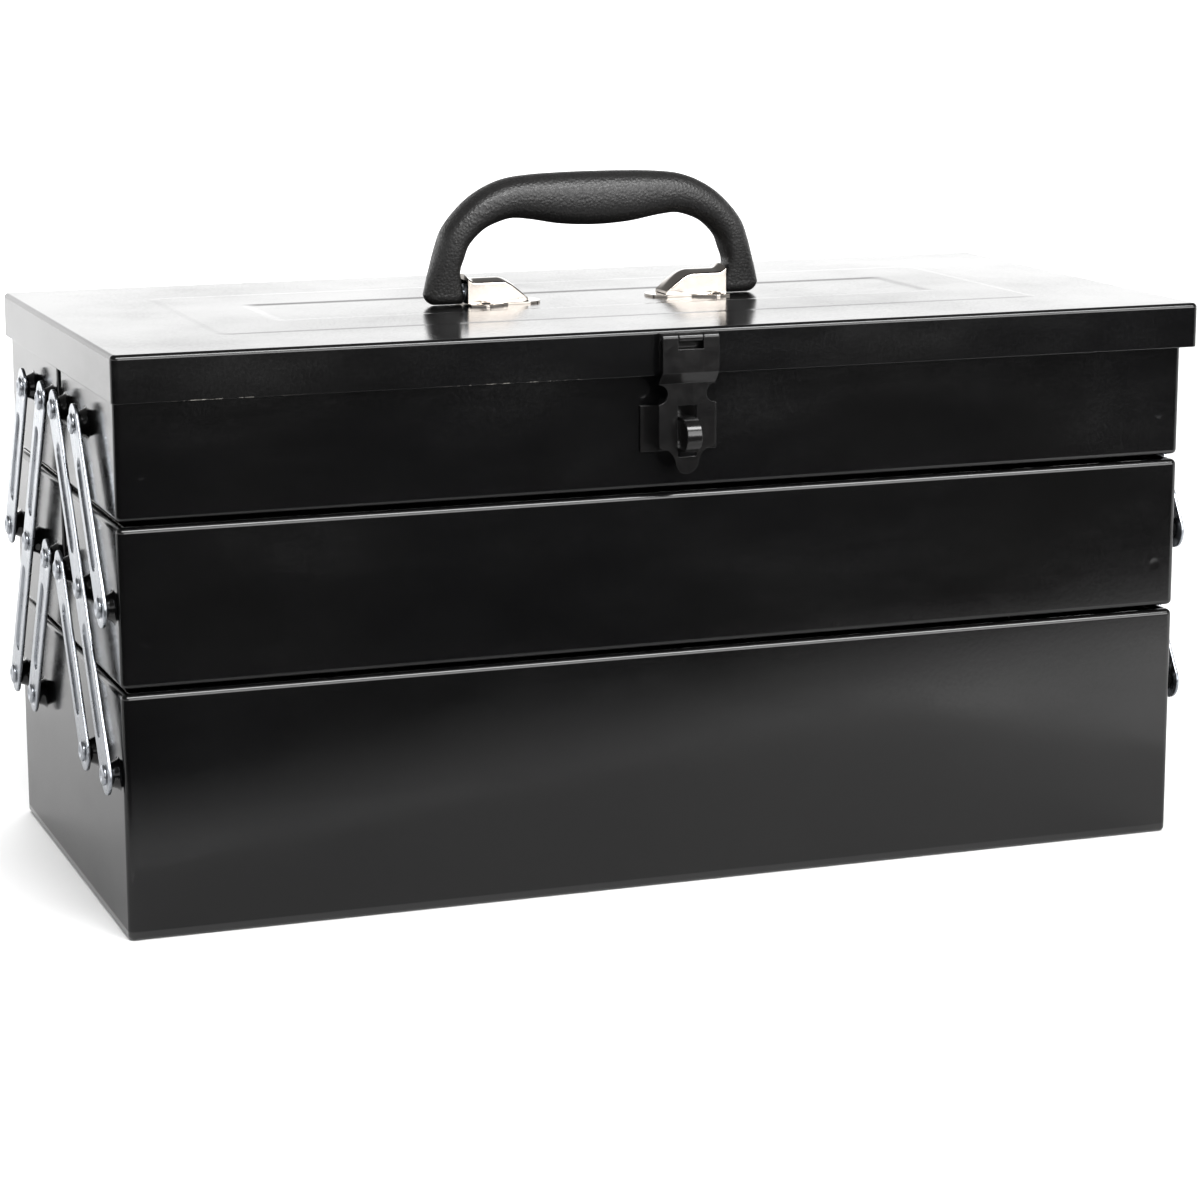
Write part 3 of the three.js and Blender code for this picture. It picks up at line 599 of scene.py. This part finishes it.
def arm_skin(pivots, side):
    """A zinc-plated bar: rounded edges, a pressed bead between its pivots, a dish at each pivot."""
    pivots = [np.array(p, float) for p in pivots]
    start, along = pivots[0], pivots[-1] - pivots[0]
    length = np.linalg.norm(along)
    along = along / length
    across = np.array([-along[1], along[0]])
    stops = [np.dot(p - start, along) for p in pivots]
    beads = [(a + BEAD_START, b - BEAD_START) for a, b in zip(stops, stops[1:])]

    def spaced(spots, near, far):
        """Places along a line, close together around the given spots."""
        places = set(np.round(np.linspace(near, far, int((far - near) / 2.4) + 2), 3))
        for spot, half, step in spots:
            count = int(2 * half / step)
            places |= set(np.round(np.linspace(spot - half, spot + half, count + 1), 3))
        return sorted(p for p in places if near <= p <= far)

    ends = [(0.0, 5.0, 0.5), (length, 5.0, 0.5)]
    ends += [(1 - ARM_HALF, 1, 0.12), (length + ARM_HALF - 1, 1, 0.12)]
    rounds = [(e, BEAD_HALF + 1, 0.35) for bead in beads for e in (bead[0] - 1, bead[1] + 1)]
    dishes = [(s, 6.0, 0.5) for s in stops]
    us = np.array(spaced([*ends, *rounds, *dishes], -ARM_HALF, length + ARM_HALF))
    rim = 1 - (1 - np.cos(np.linspace(0, math.pi / 2, 6))) * 0.1
    inner = np.linspace(0, 0.9, 29)[:-1]
    ts = np.array(sorted({*np.round(inner, 5), *np.round(rim, 5)}))
    ts = np.concatenate([-ts[:0:-1], ts])
    over = np.clip(np.maximum(-us, us - length), 0, ARM_HALF)
    half = np.sqrt(np.maximum(ARM_HALF**2 - over**2, 1e-4))
    u, t = np.meshgrid(us, ts, indexing="ij")
    v = t * half[:, None]
    nearest = np.clip(u, 0, length)
    inward = ARM_HALF - np.hypot(u - nearest, v)

    def step(x):
        x = np.clip(x, 0, 1)
        return x * x * (3 - 2 * x)

    edge = 0.45
    drop = edge - np.sqrt(np.maximum(edge**2 - np.clip(edge - inward, 0, edge) ** 2, 0))
    bead = np.zeros_like(u)
    for a, b in beads:
        near = np.clip(u, a, b)
        off = np.hypot(u - near, v) - BEAD_HALF
        bead = np.maximum(bead, 1 - step((off + 0.45) / 0.9))
    dish = np.zeros_like(u)
    for s in stops:
        off = np.hypot(u - s, v)
        dish = np.maximum(dish, 1 - step((off - 4.6) / 1.1))
    low = extent("front_long_arm_right")[0][0] + BEAD_DEPTH
    front = low + ARM_SHEET - drop - BEAD_DEPTH * bead - 0.25 * dish
    back = low + drop - BEAD_DEPTH * bead
    y = start[0] + u * along[0] + v * across[0]
    z = start[1] + u * along[1] + v * across[1]
    rows, cols = u.shape
    far = rows * cols
    faces = []
    for i in range(rows - 1):
        for j in range(cols - 1):
            a, b = i * cols + j, (i + 1) * cols + j
            faces.append([a, b, b + 1, a + 1])
            faces.append([a + 1 + far, b + 1 + far, b + far, a + far])
    loop = (
        [i * cols for i in range(rows)]
        + [(rows - 1) * cols + j for j in range(1, cols)]
        + [i * cols + cols - 1 for i in range(rows - 2, -1, -1)]
        + [j for j in range(cols - 2, 0, -1)]
    )
    for a, b in zip(loop, [*loop[1:], loop[0]]):
        faces.append([a, a + far, b + far, b])
    points = [np.stack([side * x, y, z], -1).reshape(-1, 3) for x in (front, back)]
    return Skin().add(np.concatenate(points), faces)


RIVET_HEAD = [
    (4.4, 0.0), (4.4, 0.35), (4.3, 0.62), (4.05, 0.9), (3.7, 1.12), (3.3, 1.3), (2.9, 1.4),
    (2.5, 1.36), (2.1, 1.2), (1.7, 0.98), (1.2, 0.82), (0.6, 0.76), (0.15, 0.75),
]  # fmt: skip
RIVET_SHANK, RIVET_HEIGHT = 1.6, 1.6


def rivet_mesh(side):
    """A tubular rivet: a rolled head with a sunk middle, its shank, and a tail inside the wall."""
    low, high = extent("front_base_outer_rivet_right")
    tail, head = low[0], high[0] - RIVET_HEIGHT
    profile = [(0.15, tail), (2.6, tail), (3.0, tail + 0.4), (3.0, tail + 1.1)]
    profile += [(RIVET_SHANK, tail + 1.1), (RIVET_SHANK, head)]
    profile += [(r, head + out) for r, out in RIVET_HEAD]
    skin = Skin().lathe([(r, side * x) for r, x in profile], "x", (0, 0, 0), 32, caps=(True, True))
    return mesh_of(f"tubular_rivet_{side}", skin, ZINC)


SIDES = {"left": -1, "right": 1}
ARM_PIVOTS = {
    "long_arm": ("base_outer", "mid_middle", "top_inner"),
    "lower_arm": ("base_inner", "mid_inner"),
    "upper_arm": ("mid_outer", "top_outer"),
}
RIVET_MESHES = {side: rivet_mesh(sign) for side, sign in SIDES.items()}
for half in ("front", "rear"):
    for kind, stops in ARM_PIVOTS.items():
        for side, sign in SIDES.items():
            pivots = [tuple(middle(f"{half}_{stop}_rivet_{side}")[1:]) for stop in stops]
            node = f"{half}_{kind}_{side}"
            skin = arm_skin(pivots, sign)
            piece(f"plated_{node}", skin, f"{half}_{kind}s", [node], "zinc_plate", ZINC)
    for level, spots in SPOTS.items():
        body = "base" if level == "base" else f"{half}_{level}_tray"
        for spot in spots:
            for side in SIDES:
                node = f"{half}_{level}_{spot}_rivet_{side}"
                at = middle(node) * (0, 1, 1)
                piece(f"plated_{node}", RIVET_MESHES[side], body, [node], "zinc_plate", ZINC, at=at)


# ---- The lid ----

LID_TOP, PANEL_TOP, RECESS_FLOOR = 247.9, 248.05, 247.7
PANEL = {"half_length": 190.0, "half_depth": 67.0, "radius": 6.0, "width": 4.5}
RECESS = {"half_length": 155.0, "half_depth": 28.5, "radius": 4.0, "width": 6.5}


def lid():
    low, high = extent("lid_shell")
    edge = 2.1

    def outline(inset, z):
        radius = max(CORNER - inset, 0.3)
        left, near = low[:2] + inset
        right, rear = high[:2] - inset
        return rounded_ring(left, right, near, rear, radius, z)

    def panel(shape, inset, z):
        a, b = shape["half_length"] - inset, shape["half_depth"] - inset
        return rounded_ring(-a, a, HANDLE_Y - b, HANDLE_Y + b, shape["radius"], z)

    def swell(shape, z0, z1):
        """A soft step from z0 outside to z1 inside."""
        for t in np.linspace(0, 1, 9):
            yield panel(shape, shape["width"] * (t - 0.5), z0 + (z1 - z0) * t * t * (3 - 2 * t))

    def skin_at(offset):
        """The top from its shoulder to the middle, offset down by the sheet's thickness."""
        bend = edge - offset
        for t in np.radians(np.linspace(0, 90, 7)):
            yield outline(edge - bend * math.cos(t), LID_TOP - edge + bend * math.sin(t))
        yield from swell(PANEL, LID_TOP - offset, PANEL_TOP - offset)
        yield from swell(RECESS, PANEL_TOP - offset, RECESS_FLOOR - offset)

    hem = [
        outline(SHEET / 2 - SHEET / 2 * math.cos(t), low[2] + 0.4 - 0.4 * math.sin(t))
        for t in np.radians(np.linspace(180, 0, 7))
    ]
    rings = [*reversed(list(skin_at(SHEET))), *hem, *skin_at(0)]
    piece("painted_lid", Skin().loft(rings), "lid", ["lid_shell"], "gloss_black_paint", LID_PAINT)


lid()


# ---- The long hinge behind ----


def barrel(skin, x0, x1, y, z, outer, inner, chamfer=0.25):
    profile = [
        (inner, x0), (outer - chamfer, x0), (outer, x0 + chamfer),
        (outer, x1 - chamfer), (outer - chamfer, x1), (inner, x1), (inner, x0),
    ]  # fmt: skip
    skin.lathe(profile, "x", (0, y, z), 28)


def flat_plate(u0, u1, v0, v1):
    return [(u0, v0), (u1, v0), (u1, v1), (u0, v1)]


def facing_y(u, v, t):
    return (u, t, v)


def facing_z(u, v, t):
    return (u, v, t)


def long_hinge():
    axis = middle("lid_hinge_pin")
    reach = extent("lid_hinge_pin")[1][0]
    pitch = 2 * reach / 7
    leaves = (("lid_hinge_tray_leaf", "rear_top_tray", 0), ("lid_hinge_lid_leaf", "lid", 1))
    for node, body, first in leaves:
        low, high = extent(node)
        up = first == 1
        y0 = 113.3 if up else 111.3
        skin = Skin()
        clear = axis[2] + (2.5 if up else -2.5)
        z0, z1 = (clear, high[2]) if up else (low[2], clear)
        outline = flat_plate(-reach, reach, z0, z1)
        skin.slab(outline, [], y0, y0 + SHEET, facing_y)
        for i in range(first, 7, 2):
            x0, x1 = -reach + i * pitch + 0.15, -reach + (i + 1) * pitch - 0.15
            barrel(skin, x0, x1, axis[1], axis[2], 2.2, 1.35)
            near = axis[2] + 1.4 if up else axis[2]
            tongue = flat_plate(x0, x1, *sorted((clear, near)))
            skin.slab(tongue, [], y0, y0 + SHEET, facing_y)
        heads = Skin()
        for i in range(8):
            x = -reach + (i + 0.5) * 2 * reach / 8
            z = (z0 + z1) / 2 + (1.5 if up else -1.5)
            dome = [(3.0, -0.1), (3.0, 0.15), (2.7, 0.5), (2.0, 0.78), (1.0, 0.92), (0.1, 0.95)]
            heads.lathe(dome, "y", (x, y0 + SHEET, z), 24, caps=(True, True))
        piece(f"painted_{node}", skin, body, [node], "gloss_black_paint", PAINT, bevel=0.18)
        extra(f"{node}_heads", heads, body, PAINT)
    profile = [(0.1, -reach), (0.8, -reach), (1.0, 0.2 - reach)]
    profile += [(r, -x) for r, x in profile[::-1]]
    pin = Skin().lathe(profile, "x", (0, axis[1], axis[2]), 24, caps=(True, True))
    piece("plated_hinge_pin", pin, "rear_top_tray", ["lid_hinge_pin"], "zinc_plate", ZINC)


long_hinge()


# ---- The handle ----

# The right half of the grip from its foot to the middle: x, height over the pivot, half width in
# the plane of the loop, half depth across it.
GRIP_STATIONS = [
    (71.6, 0, 9.1, 4.85),
    (71.3, 6.5, 7.6, 6.15),
    (70.6, 12, 6.6, 7.3),
    (68.7, 17.8, 6.7, 8.4),
    (65.6, 25.3, 6.9, 9.2),
    (58.4, 33.3, 7.3, 9.8),
    (50.9, 38.2, 8.1, 10.2),
    (41.3, 41.6, 8.9, 10.5),
    (30.5, 42.1, 10, 10.8),
    (16.2, 41.2, 11.5, 11),
    (0, 40.8, 12.05, 11),
]
GRIP_INNER, GRIP_OUTER, GRIP_ROUND, GRIP_CORNER = 62.5, 80.7, 4.9, 5.6


def smooth_path(rows, count):
    """A smooth curve through rows of numbers, spaced evenly by the first two."""
    rows = np.array(rows, float)
    t = np.concatenate([[0], np.cumsum(np.linalg.norm(np.diff(rows[:, :2], axis=0), axis=1))])
    slope = np.zeros_like(rows)
    slope[1:-1] = (rows[2:] - rows[:-2]) / (t[2:] - t[:-2])[:, None]
    slope[0] = (rows[1] - rows[0]) / (t[1] - t[0])
    slope[-1] = (rows[-1] - rows[-2]) / (t[-1] - t[-2])
    out = []
    for s in np.linspace(0, t[-1], count):
        i = min(np.searchsorted(t, s, side="right") - 1, len(t) - 2)
        h = t[i + 1] - t[i]
        x = (s - t[i]) / h
        out.append(
            (2 * x**3 - 3 * x**2 + 1) * rows[i]
            + (x**3 - 2 * x**2 + x) * h * slope[i]
            + (3 * x**2 - 2 * x**3) * rows[i + 1]
            + (x**3 - x**2) * h * slope[i + 1]
        )
    return np.array(out)


def grip():
    pivot_z = middle("handle_pin_right")[2]
    stations = [(-x, *rest) for x, *rest in GRIP_STATIONS[:-1]] + GRIP_STATIONS[::-1]
    rows = []
    for i, (x, rise, a, b) in enumerate(stations):
        before, after = stations[max(i - 1, 0)], stations[min(i + 1, len(stations) - 1)]
        run, climb = after[0] - before[0], after[1] - before[1]
        if i in (0, len(stations) - 1):
            run, climb = 0.0, 1.0 if i == 0 else -1.0
        rows.append((x, rise, a, b, math.atan2(climb, run)))
    path = smooth_path(rows, 110)
    feet = []
    for rise in (0.1, 0.35, 0.8, 1.5, 2.4, 3.5, 4.5):
        outer = GRIP_OUTER - GRIP_CORNER
        bulge = math.sqrt(GRIP_CORNER**2 - (GRIP_CORNER - rise) ** 2)
        below = GRIP_ROUND - rise
        inner = GRIP_INNER + max(1.2 - rise, 0) ** 2 * 0.6
        width = outer + bulge - inner
        depth = math.sqrt(GRIP_ROUND**2 - below**2)
        feet.append((inner + width / 2, -below, width / 2, depth))
    left = [(-x, z, a, b, math.pi / 2) for x, z, a, b in feet]
    right = [(x, z, a, b, -math.pi / 2) for x, z, a, b in feet]
    turn = np.linspace(0, 2 * math.pi, 44, endpoint=False)
    rings = []
    for x, rise, a, b, heading in [*left, *path, *right[::-1]]:
        # The side towards the bracket is nearly flat at the foot and as round as the rest above.
        foot = np.clip(1 - rise / 30, 0, 1)
        square = 2.35 + 3.4 * foot * foot
        towards = np.cos(turn) * -np.sign(x) * math.sin(heading) > 0
        power = np.where(towards, 2 / square, 2 / 2.35)
        c = np.sign(np.cos(turn)) * np.abs(np.cos(turn)) ** power
        s = np.sign(np.sin(turn)) * np.abs(np.sin(turn)) ** power
        rings.append(
            np.stack(
                [
                    x + a * c * math.sin(heading),
                    HANDLE_Y + b * s,
                    pivot_z + rise - a * c * math.cos(heading),
                ],
                -1,
            )
        )
    skin = Skin().loft(rings)
    piece("grained_grip", skin, "handle", ["handle_grip"], "black_grip", GRIP, angle=50)


# The bracket's hood, from the grip to its toe: distance from the middle, height over its flat
# stretch, half depth.
HOOD_TOP, HOOD_SHEET, HOOD_CROWN = 258.5, 1.1, 0.9
HOOD = [
    (62.1, 2.0, 8.3), (61.3, 1.25, 8.3), (60.3, 0.55, 8.3), (59.2, 0.12, 8.3), (57.8, 0.0, 8.3),
    (52.0, 0.0, 8.3), (46.4, 0.0, 8.3), (44.9, -0.15, 8.3), (43.4, -0.55, 8.25),
    (41.9, -1.25, 8.2), (40.4, -2.25, 8.1), (38.6, -3.8, 7.9), (36.7, -5.7, 7.6),
    (34.8, -7.8, 7.3), (33.4, -9.2, 7.0),
]  # fmt: skip
CROWN_SHARES = (0.8, 0.66, 0.54, 0.42, 0.3, 0.18, 0.06)
FOOT_SHEET = 1.0
RINGED_HEAD = [
    (3.9, 0.9), (3.9, 1.05), (3.6, 1.25), (3.2, 1.3), (2.9, 1.2), (2.7, 1.25), (2.4, 1.7),
    (1.9, 2.05), (1.3, 2.15), (0.8, 1.95), (0.1, 1.85),
]  # fmt: skip


def bracket(side):
    """A pressed nickel hood over the pin, open towards the grip, on a scalloped foot plate."""
    end = "left" if side < 0 else "right"
    foot = RECESS_FLOOR
    rings = []
    for x, lift, half in HOOD:
        height = HOOD_TOP + lift
        outside = [(-half - 0.9, foot + 1.0), (-half - 0.35, foot + 1.15), (-half, foot + 1.7)]
        r = min(1.1, (height - foot - 1.0) * 0.25)
        fall = min(1.4, (height - foot - 1.0) * 0.2)
        height += HOOD_CROWN
        rim = height - fall - 0.8 * r
        outside = [p for p in outside if p[1] < rim] or [(-half, foot + 1.0)]
        outside += arc((-half + r, rim), r, 180, 108, 6)
        for share in CROWN_SHARES:
            outside.append((-half * share, height - fall * share**1.5))
        outside = outside + [(-y, z) for y, z in outside[::-1]]
        inner_half = half - HOOD_SHEET
        ceiling = max(height - fall - HOOD_SHEET, foot + 0.3)
        r2 = min(2.6, (ceiling - foot) * 0.4)
        within = [(-inner_half, foot + 0.1)] + arc((-inner_half + r2, ceiling - r2), r2, 180, 90, 8)
        within = within + [(-y, z) for y, z in within[::-1]]
        rings.append((outside, within, x))
    count = max(len(r[0]) for r in rings)
    whole = []
    for outside, within, x in rings:
        pad = (count - len(outside)) // 2
        outside = [outside[0]] * pad + outside + [outside[-1]] * pad
        ring = [(side * x, HANDLE_Y + y, z) for y, z in outside + within[::-1]]
        whole.append(np.array(ring))
    hood = Skin().loft(whole)
    node = f"handle_bracket_{end}"
    piece(f"nickel_hood_{end}", hood, "lid", [node], "bright_nickel", NICKEL, angle=40)

    rivet_x, rivet_y, tip = 55.5, 12.0, 26.0
    front = [(HOOD[0][0], -13.0), (60.6, -13.6), (59.6, -14.4)]
    front += bezier((59.6, -14.4), (rivet_x, -18.2), (51.4, -14.4))
    front += bezier((51.4, -14.4), (49.4, -12.9), (47.2, -12.3), 4)
    front += [(46.2, -10.9), (43.5, -10.3), (34.0, -9.7)]
    front += bezier((34.0, -9.7), (tip + 0.2, -8.6), (tip, 0.0), 8)
    outline = front + [(x, -y) for x, y in front[-2::-1]]
    outline = [(side * x, HANDLE_Y + y) for x, y in outline]
    plate = Skin().slab(outline, [], foot, foot + FOOT_SHEET, facing_z)
    for y in (-rivet_y, rivet_y):
        plate.lathe(RINGED_HEAD, "z", (side * rivet_x, HANDLE_Y + y, foot), 32, caps=(True, True))
    bevel = 0.3
    foot_piece = extra(f"nickel_foot_{end}", plate, "lid", NICKEL, bevel)
    rounding = foot_piece.modifiers.new("edges", "BEVEL")
    rounding.width, rounding.segments, rounding.angle_limit = bevel * MM, 2, math.radians(50)
    rounding.limit_method = "ANGLE"
    foot_piece.modifiers.new("normals", "WEIGHTED_NORMAL").keep_sharp = True


def handle_pin(side):
    end = "left" if side < 0 else "right"
    low, high = extent(f"handle_pin_{end}")
    inner, outer = (low[0], high[0]) if side > 0 else (-high[0], -low[0])
    centre = middle(f"handle_pin_{end}")
    collar = 62.2
    profile = [(0.1, inner), (3.8, inner), (4.2, inner + 0.4), (4.2, collar - 0.2)]
    profile += [(4.0, collar), (2.3, collar), (2.3, outer - 0.3), (2.0, outer), (0.1, outer)]
    profile = [(r, side * x) for r, x in profile]
    skin = Skin().lathe(profile, "x", (0, centre[1], centre[2]), 32, caps=(True, True))
    piece(f"plated_pin_{end}", skin, "handle", [f"handle_pin_{end}"], "zinc_plate", ZINC)


grip()
for sign in (-1, 1):
    bracket(sign)
    handle_pin(sign)


# ---- The hasp and its staple ----

HASP_Y, HASP_Z, HASP_BARREL = -125.1, 244.4, 1.9
HASP_HALF, HASP_SHEET = 12.8, 1.5
HASP_EYE = 1.25
JOGGLE_TOP, JOGGLE_FOOT, JOGGLE_DEPTH = 229.6, 224.6, 4.5
PLATE_BACK = -121.3
SATIN = ("satin_black_paint", HASP_PAINT)


def hasp_leaf():
    face = HASP_Y - HASP_BARREL
    half = HASP_HALF
    shoulder, tip, tip_radius = 197.3, 190.6, 5.2
    left = [(-half, 239.6), (-half, JOGGLE_TOP), (-half, JOGGLE_FOOT)]
    left += arc((-half - 0.2, 220), 4.2, 88, -88, 14)
    left += [(-half, 214.5), (-half, shoulder + 1.2)]
    turned = (-half + 1.6, shoulder - 0.6)
    left += bezier((-half, shoulder + 1.2), (-half, shoulder - 0.2), turned, 4)
    left += bezier(turned, (-6.6, shoulder - 1.2), (-tip_radius, tip), 8)
    low_edge = arc((0, tip), tip_radius, 180, 360, 20)[1:-1]
    right = [(-u, v) for u, v in left[::-1]]
    top = [(half, HASP_Z), (5.8, HASP_Z), (5.8, 239.6)]
    top += [(-u, v) for u, v in top[::-1]]
    outline = left + low_edge + right + top
    slot = [(-4.3, 193.4), (-3.8, 192.9), (3.8, 192.9), (4.3, 193.4)]
    slot += [(4.3, 214.9), (-4.3, 214.9)]

    def bent(u, v, t):
        fall = np.clip((JOGGLE_TOP - v) / (JOGGLE_TOP - JOGGLE_FOOT), 0, 1) * JOGGLE_DEPTH
        return (u, face + fall + t, v)

    folds = [((-half, v), (half, v)) for v in (JOGGLE_TOP, JOGGLE_FOOT)]
    skin = Skin().slab(outline, [slot], 0.0, HASP_SHEET, bent, folds)
    for x0, x1 in ((-half, -5.8), (5.8, half)):
        barrel(skin, x0, x1, HASP_Y, HASP_Z, HASP_BARREL, HASP_EYE, 0.2)
    piece("painted_hasp_leaf", skin, "hasp", ["hasp_leaf"], *SATIN, bevel=0.28, angle=35)


def hasp_plate():
    low, high = extent("hasp_plate")
    outline = flat_plate(-HASP_HALF, HASP_HALF, low[2], high[2])
    skin = Skin().slab(outline, [], -122.3, PLATE_BACK, facing_y)
    skin.slab(flat_plate(-5.5, 5.5, HASP_Y, PLATE_BACK), [], high[2] - 1.0, high[2], facing_z)
    barrel(skin, -5.5, 5.5, HASP_Y, HASP_Z, HASP_BARREL, HASP_EYE, 0.2)
    piece("painted_hasp_plate", skin, "lid", ["hasp_plate"], *SATIN, bevel=0.22, angle=35)
    profile = [(0.1, -12.7), (0.75, -12.7), (0.95, -12.5)]
    profile += [(r, -x) for r, x in profile[::-1]]
    pin = Skin().lathe(profile, "x", (0, HASP_Y, HASP_Z), 20, caps=(True, True))
    piece("painted_hasp_pin", pin, "lid", ["hasp_pin"], *SATIN)


def staple():
    body = "front_top_tray"
    low, high = extent("staple_plate")
    outline = flat_plate(low[0], high[0], low[2], high[2])
    plate = Skin().slab(outline, [], low[1], high[1], facing_y)
    piece("painted_staple_plate", plate, body, ["staple_plate"], *SATIN, bevel=0.25)
    low, high = extent("staple_loop")
    radius, thick, foot = (high[2] - low[2]) / 2, 1.6, high[1]
    centre = (low[1] + radius, (high[2] + low[2]) / 2)
    strip = [(foot, high[2]), *arc(centre, radius, 90, 270, 28), (foot, low[2])]
    strip += [(foot, low[2] + thick), *arc(centre, radius - thick, 270, 90, 24)]
    strip += [(foot, high[2] - thick)]
    loop = Skin().slab(strip, [], low[0], high[0], lambda u, v, t: (t, u, v))
    look = {"bevel": 0.35, "segments": 3, "angle": 40}
    piece("painted_staple_loop", loop, body, ["staple_loop"], *SATIN, **look)


hasp_leaf()
hasp_plate()
staple()


# ---- The floor and the light ----


def stage_plane(name, corners, material):
    mesh = bpy.data.meshes.new(name)
    mesh.from_pydata(corners, [], [(0, 1, 2, 3)])
    mesh.materials.append(material)
    plane = bpy.data.objects.new(name, mesh)
    bpy.context.scene.collection.objects.link(plane)
    return plane


def floor():
    size = 2.3
    n = Nodes("pale_floor")
    n.set(Roughness=0.9)
    n.shader.inputs["Specular IOR Level"].default_value = 0.1
    material = n.finish(n.ramp(n.noise(0.6, 2.0), [(0.0, 0.79), (1.0, 0.81)]))
    corners = [(-size, -size, 0), (size, -size, 0), (size, size, 0), (-size, size, 0)]
    stage_plane("floor", corners, material)


def reflected_card(name, place, turn, reach, fade, most, radiance):
    """A grey card just over the floor, as a studio lays one to tone the reflections in gloss black.
    Only reflections see it. It fades out towards its own +Y edge, over fade metres."""
    n = Nodes(name)
    n.set(Roughness=1.0)
    n.shader.inputs["Base Color"].default_value = (radiance, radiance, radiance, 1)
    n.shader.inputs["Specular IOR Level"].default_value = 0.0
    split = n.node("ShaderNodeSeparateXYZ")
    n.link(n.place, split.inputs[0])
    n.link(n.span(split.outputs["Y"], -fade, 0.0, most, 0.0), n.shader.inputs["Alpha"])
    width, depth = reach
    corners = [(-width, -depth, 0), (width, -depth, 0), (width, 0, 0), (-width, 0, 0)]
    card = stage_plane(name, corners, n.material)
    card.location = (*place, 0.004)
    card.rotation_euler = (0, 0, turn)
    card.visible_camera = False
    card.visible_diffuse = False
    card.visible_shadow = False
    card.visible_transmission = False


def softbox(name, place, aim, width, depth, radiance, mirrored=True):
    data = bpy.data.lights.new(name, "AREA")
    data.shape = "RECTANGLE"
    data.size, data.size_y = width, depth
    data.energy = radiance * math.pi * width * depth
    lamp = bpy.data.objects.new(name, data)
    lamp.location = place
    lamp.rotation_mode = "QUATERNION"
    lamp.rotation_quaternion = (Vector(aim) - Vector(place)).to_track_quat("-Z", "Y")
    lamp.visible_camera = False
    lamp.visible_glossy = mirrored
    bpy.context.scene.collection.objects.link(lamp)


def sky():
    """A pale studio: bright low behind the object, dim overhead and in front."""
    world = bpy.data.worlds.new("studio")
    bpy.context.scene.world = world
    world.use_nodes = True
    tree = world.node_tree
    place = tree.nodes.new("ShaderNodeTexCoord").outputs["Generated"]
    split = tree.nodes.new("ShaderNodeSeparateXYZ")
    tree.links.new(place, split.inputs[0])

    def ramp(value, stops):
        made = tree.nodes.new("ShaderNodeValToRGB")
        elements = made.color_ramp.elements
        while len(elements) < len(stops):
            elements.new(1.0)
        for element, (at, level) in zip(elements, stops):
            element.position = at
            element.color = (level, level, level, 1.0)
        tree.links.new(value, made.inputs["Fac"])
        return made.outputs["Color"]

    def span(value, low, high):
        made = tree.nodes.new("ShaderNodeMapRange")
        made.inputs["From Min"].default_value = low
        made.inputs["From Max"].default_value = high
        tree.links.new(value, made.inputs["Value"])
        return made.outputs["Result"]

    behind = ramp(span(split.outputs["Y"], -1.0, 1.0), [(0.25, 0.62), (0.55, 0.8), (0.75, 1.0)])
    levels = [(0.0, 0.9), (0.1, 0.95), (0.17, 1.0), (0.22, 0.85), (0.33, 0.12), (1.0, 0.08)]
    height = ramp(split.outputs["Z"], levels)
    both = tree.nodes.new("ShaderNodeMix")
    both.data_type = "RGBA"
    both.blend_type = "MULTIPLY"
    both.inputs["Factor"].default_value = 1.0
    colours = [socket for socket in both.inputs if socket.type == "RGBA"]
    tree.links.new(behind, colours[0])
    tree.links.new(height, colours[1])
    background = tree.nodes["Background"]
    mixed = next(socket for socket in both.outputs if socket.type == "RGBA")
    tree.links.new(mixed, background.inputs["Color"])
    background.inputs["Strength"].default_value = 2.0


floor()
reach = 1.29
front = (EYE[0] + reach * math.sin(YAW), EYE[1] + reach * math.cos(YAW))
reflected_card("front_card", front, -YAW, (4.0, 4.0), 0.13, 1.0, 0.012)
reflected_card("side_card", (-0.05, 0.8), math.radians(-35), (0.9, 1.4), 0.9, 0.5, 0.012)
sky()
softbox("rear_softbox", (-0.3, 2.3, 2.3), (-0.3, 1.9, 0.0), 3.6, 1.8, 7.5, mirrored=False)
softbox("top_softbox", (0.15, -1.5, 1.9), (0.0, -0.1, 0.22), 2.6, 0.65, 17.0)
softbox("front_softbox", (0.7, -2.1, 0.8), (0.0, 0.0, 0.0), 1.7, 1.1, 5.2)


bpy.context.scene.view_settings.view_transform = "Standard"
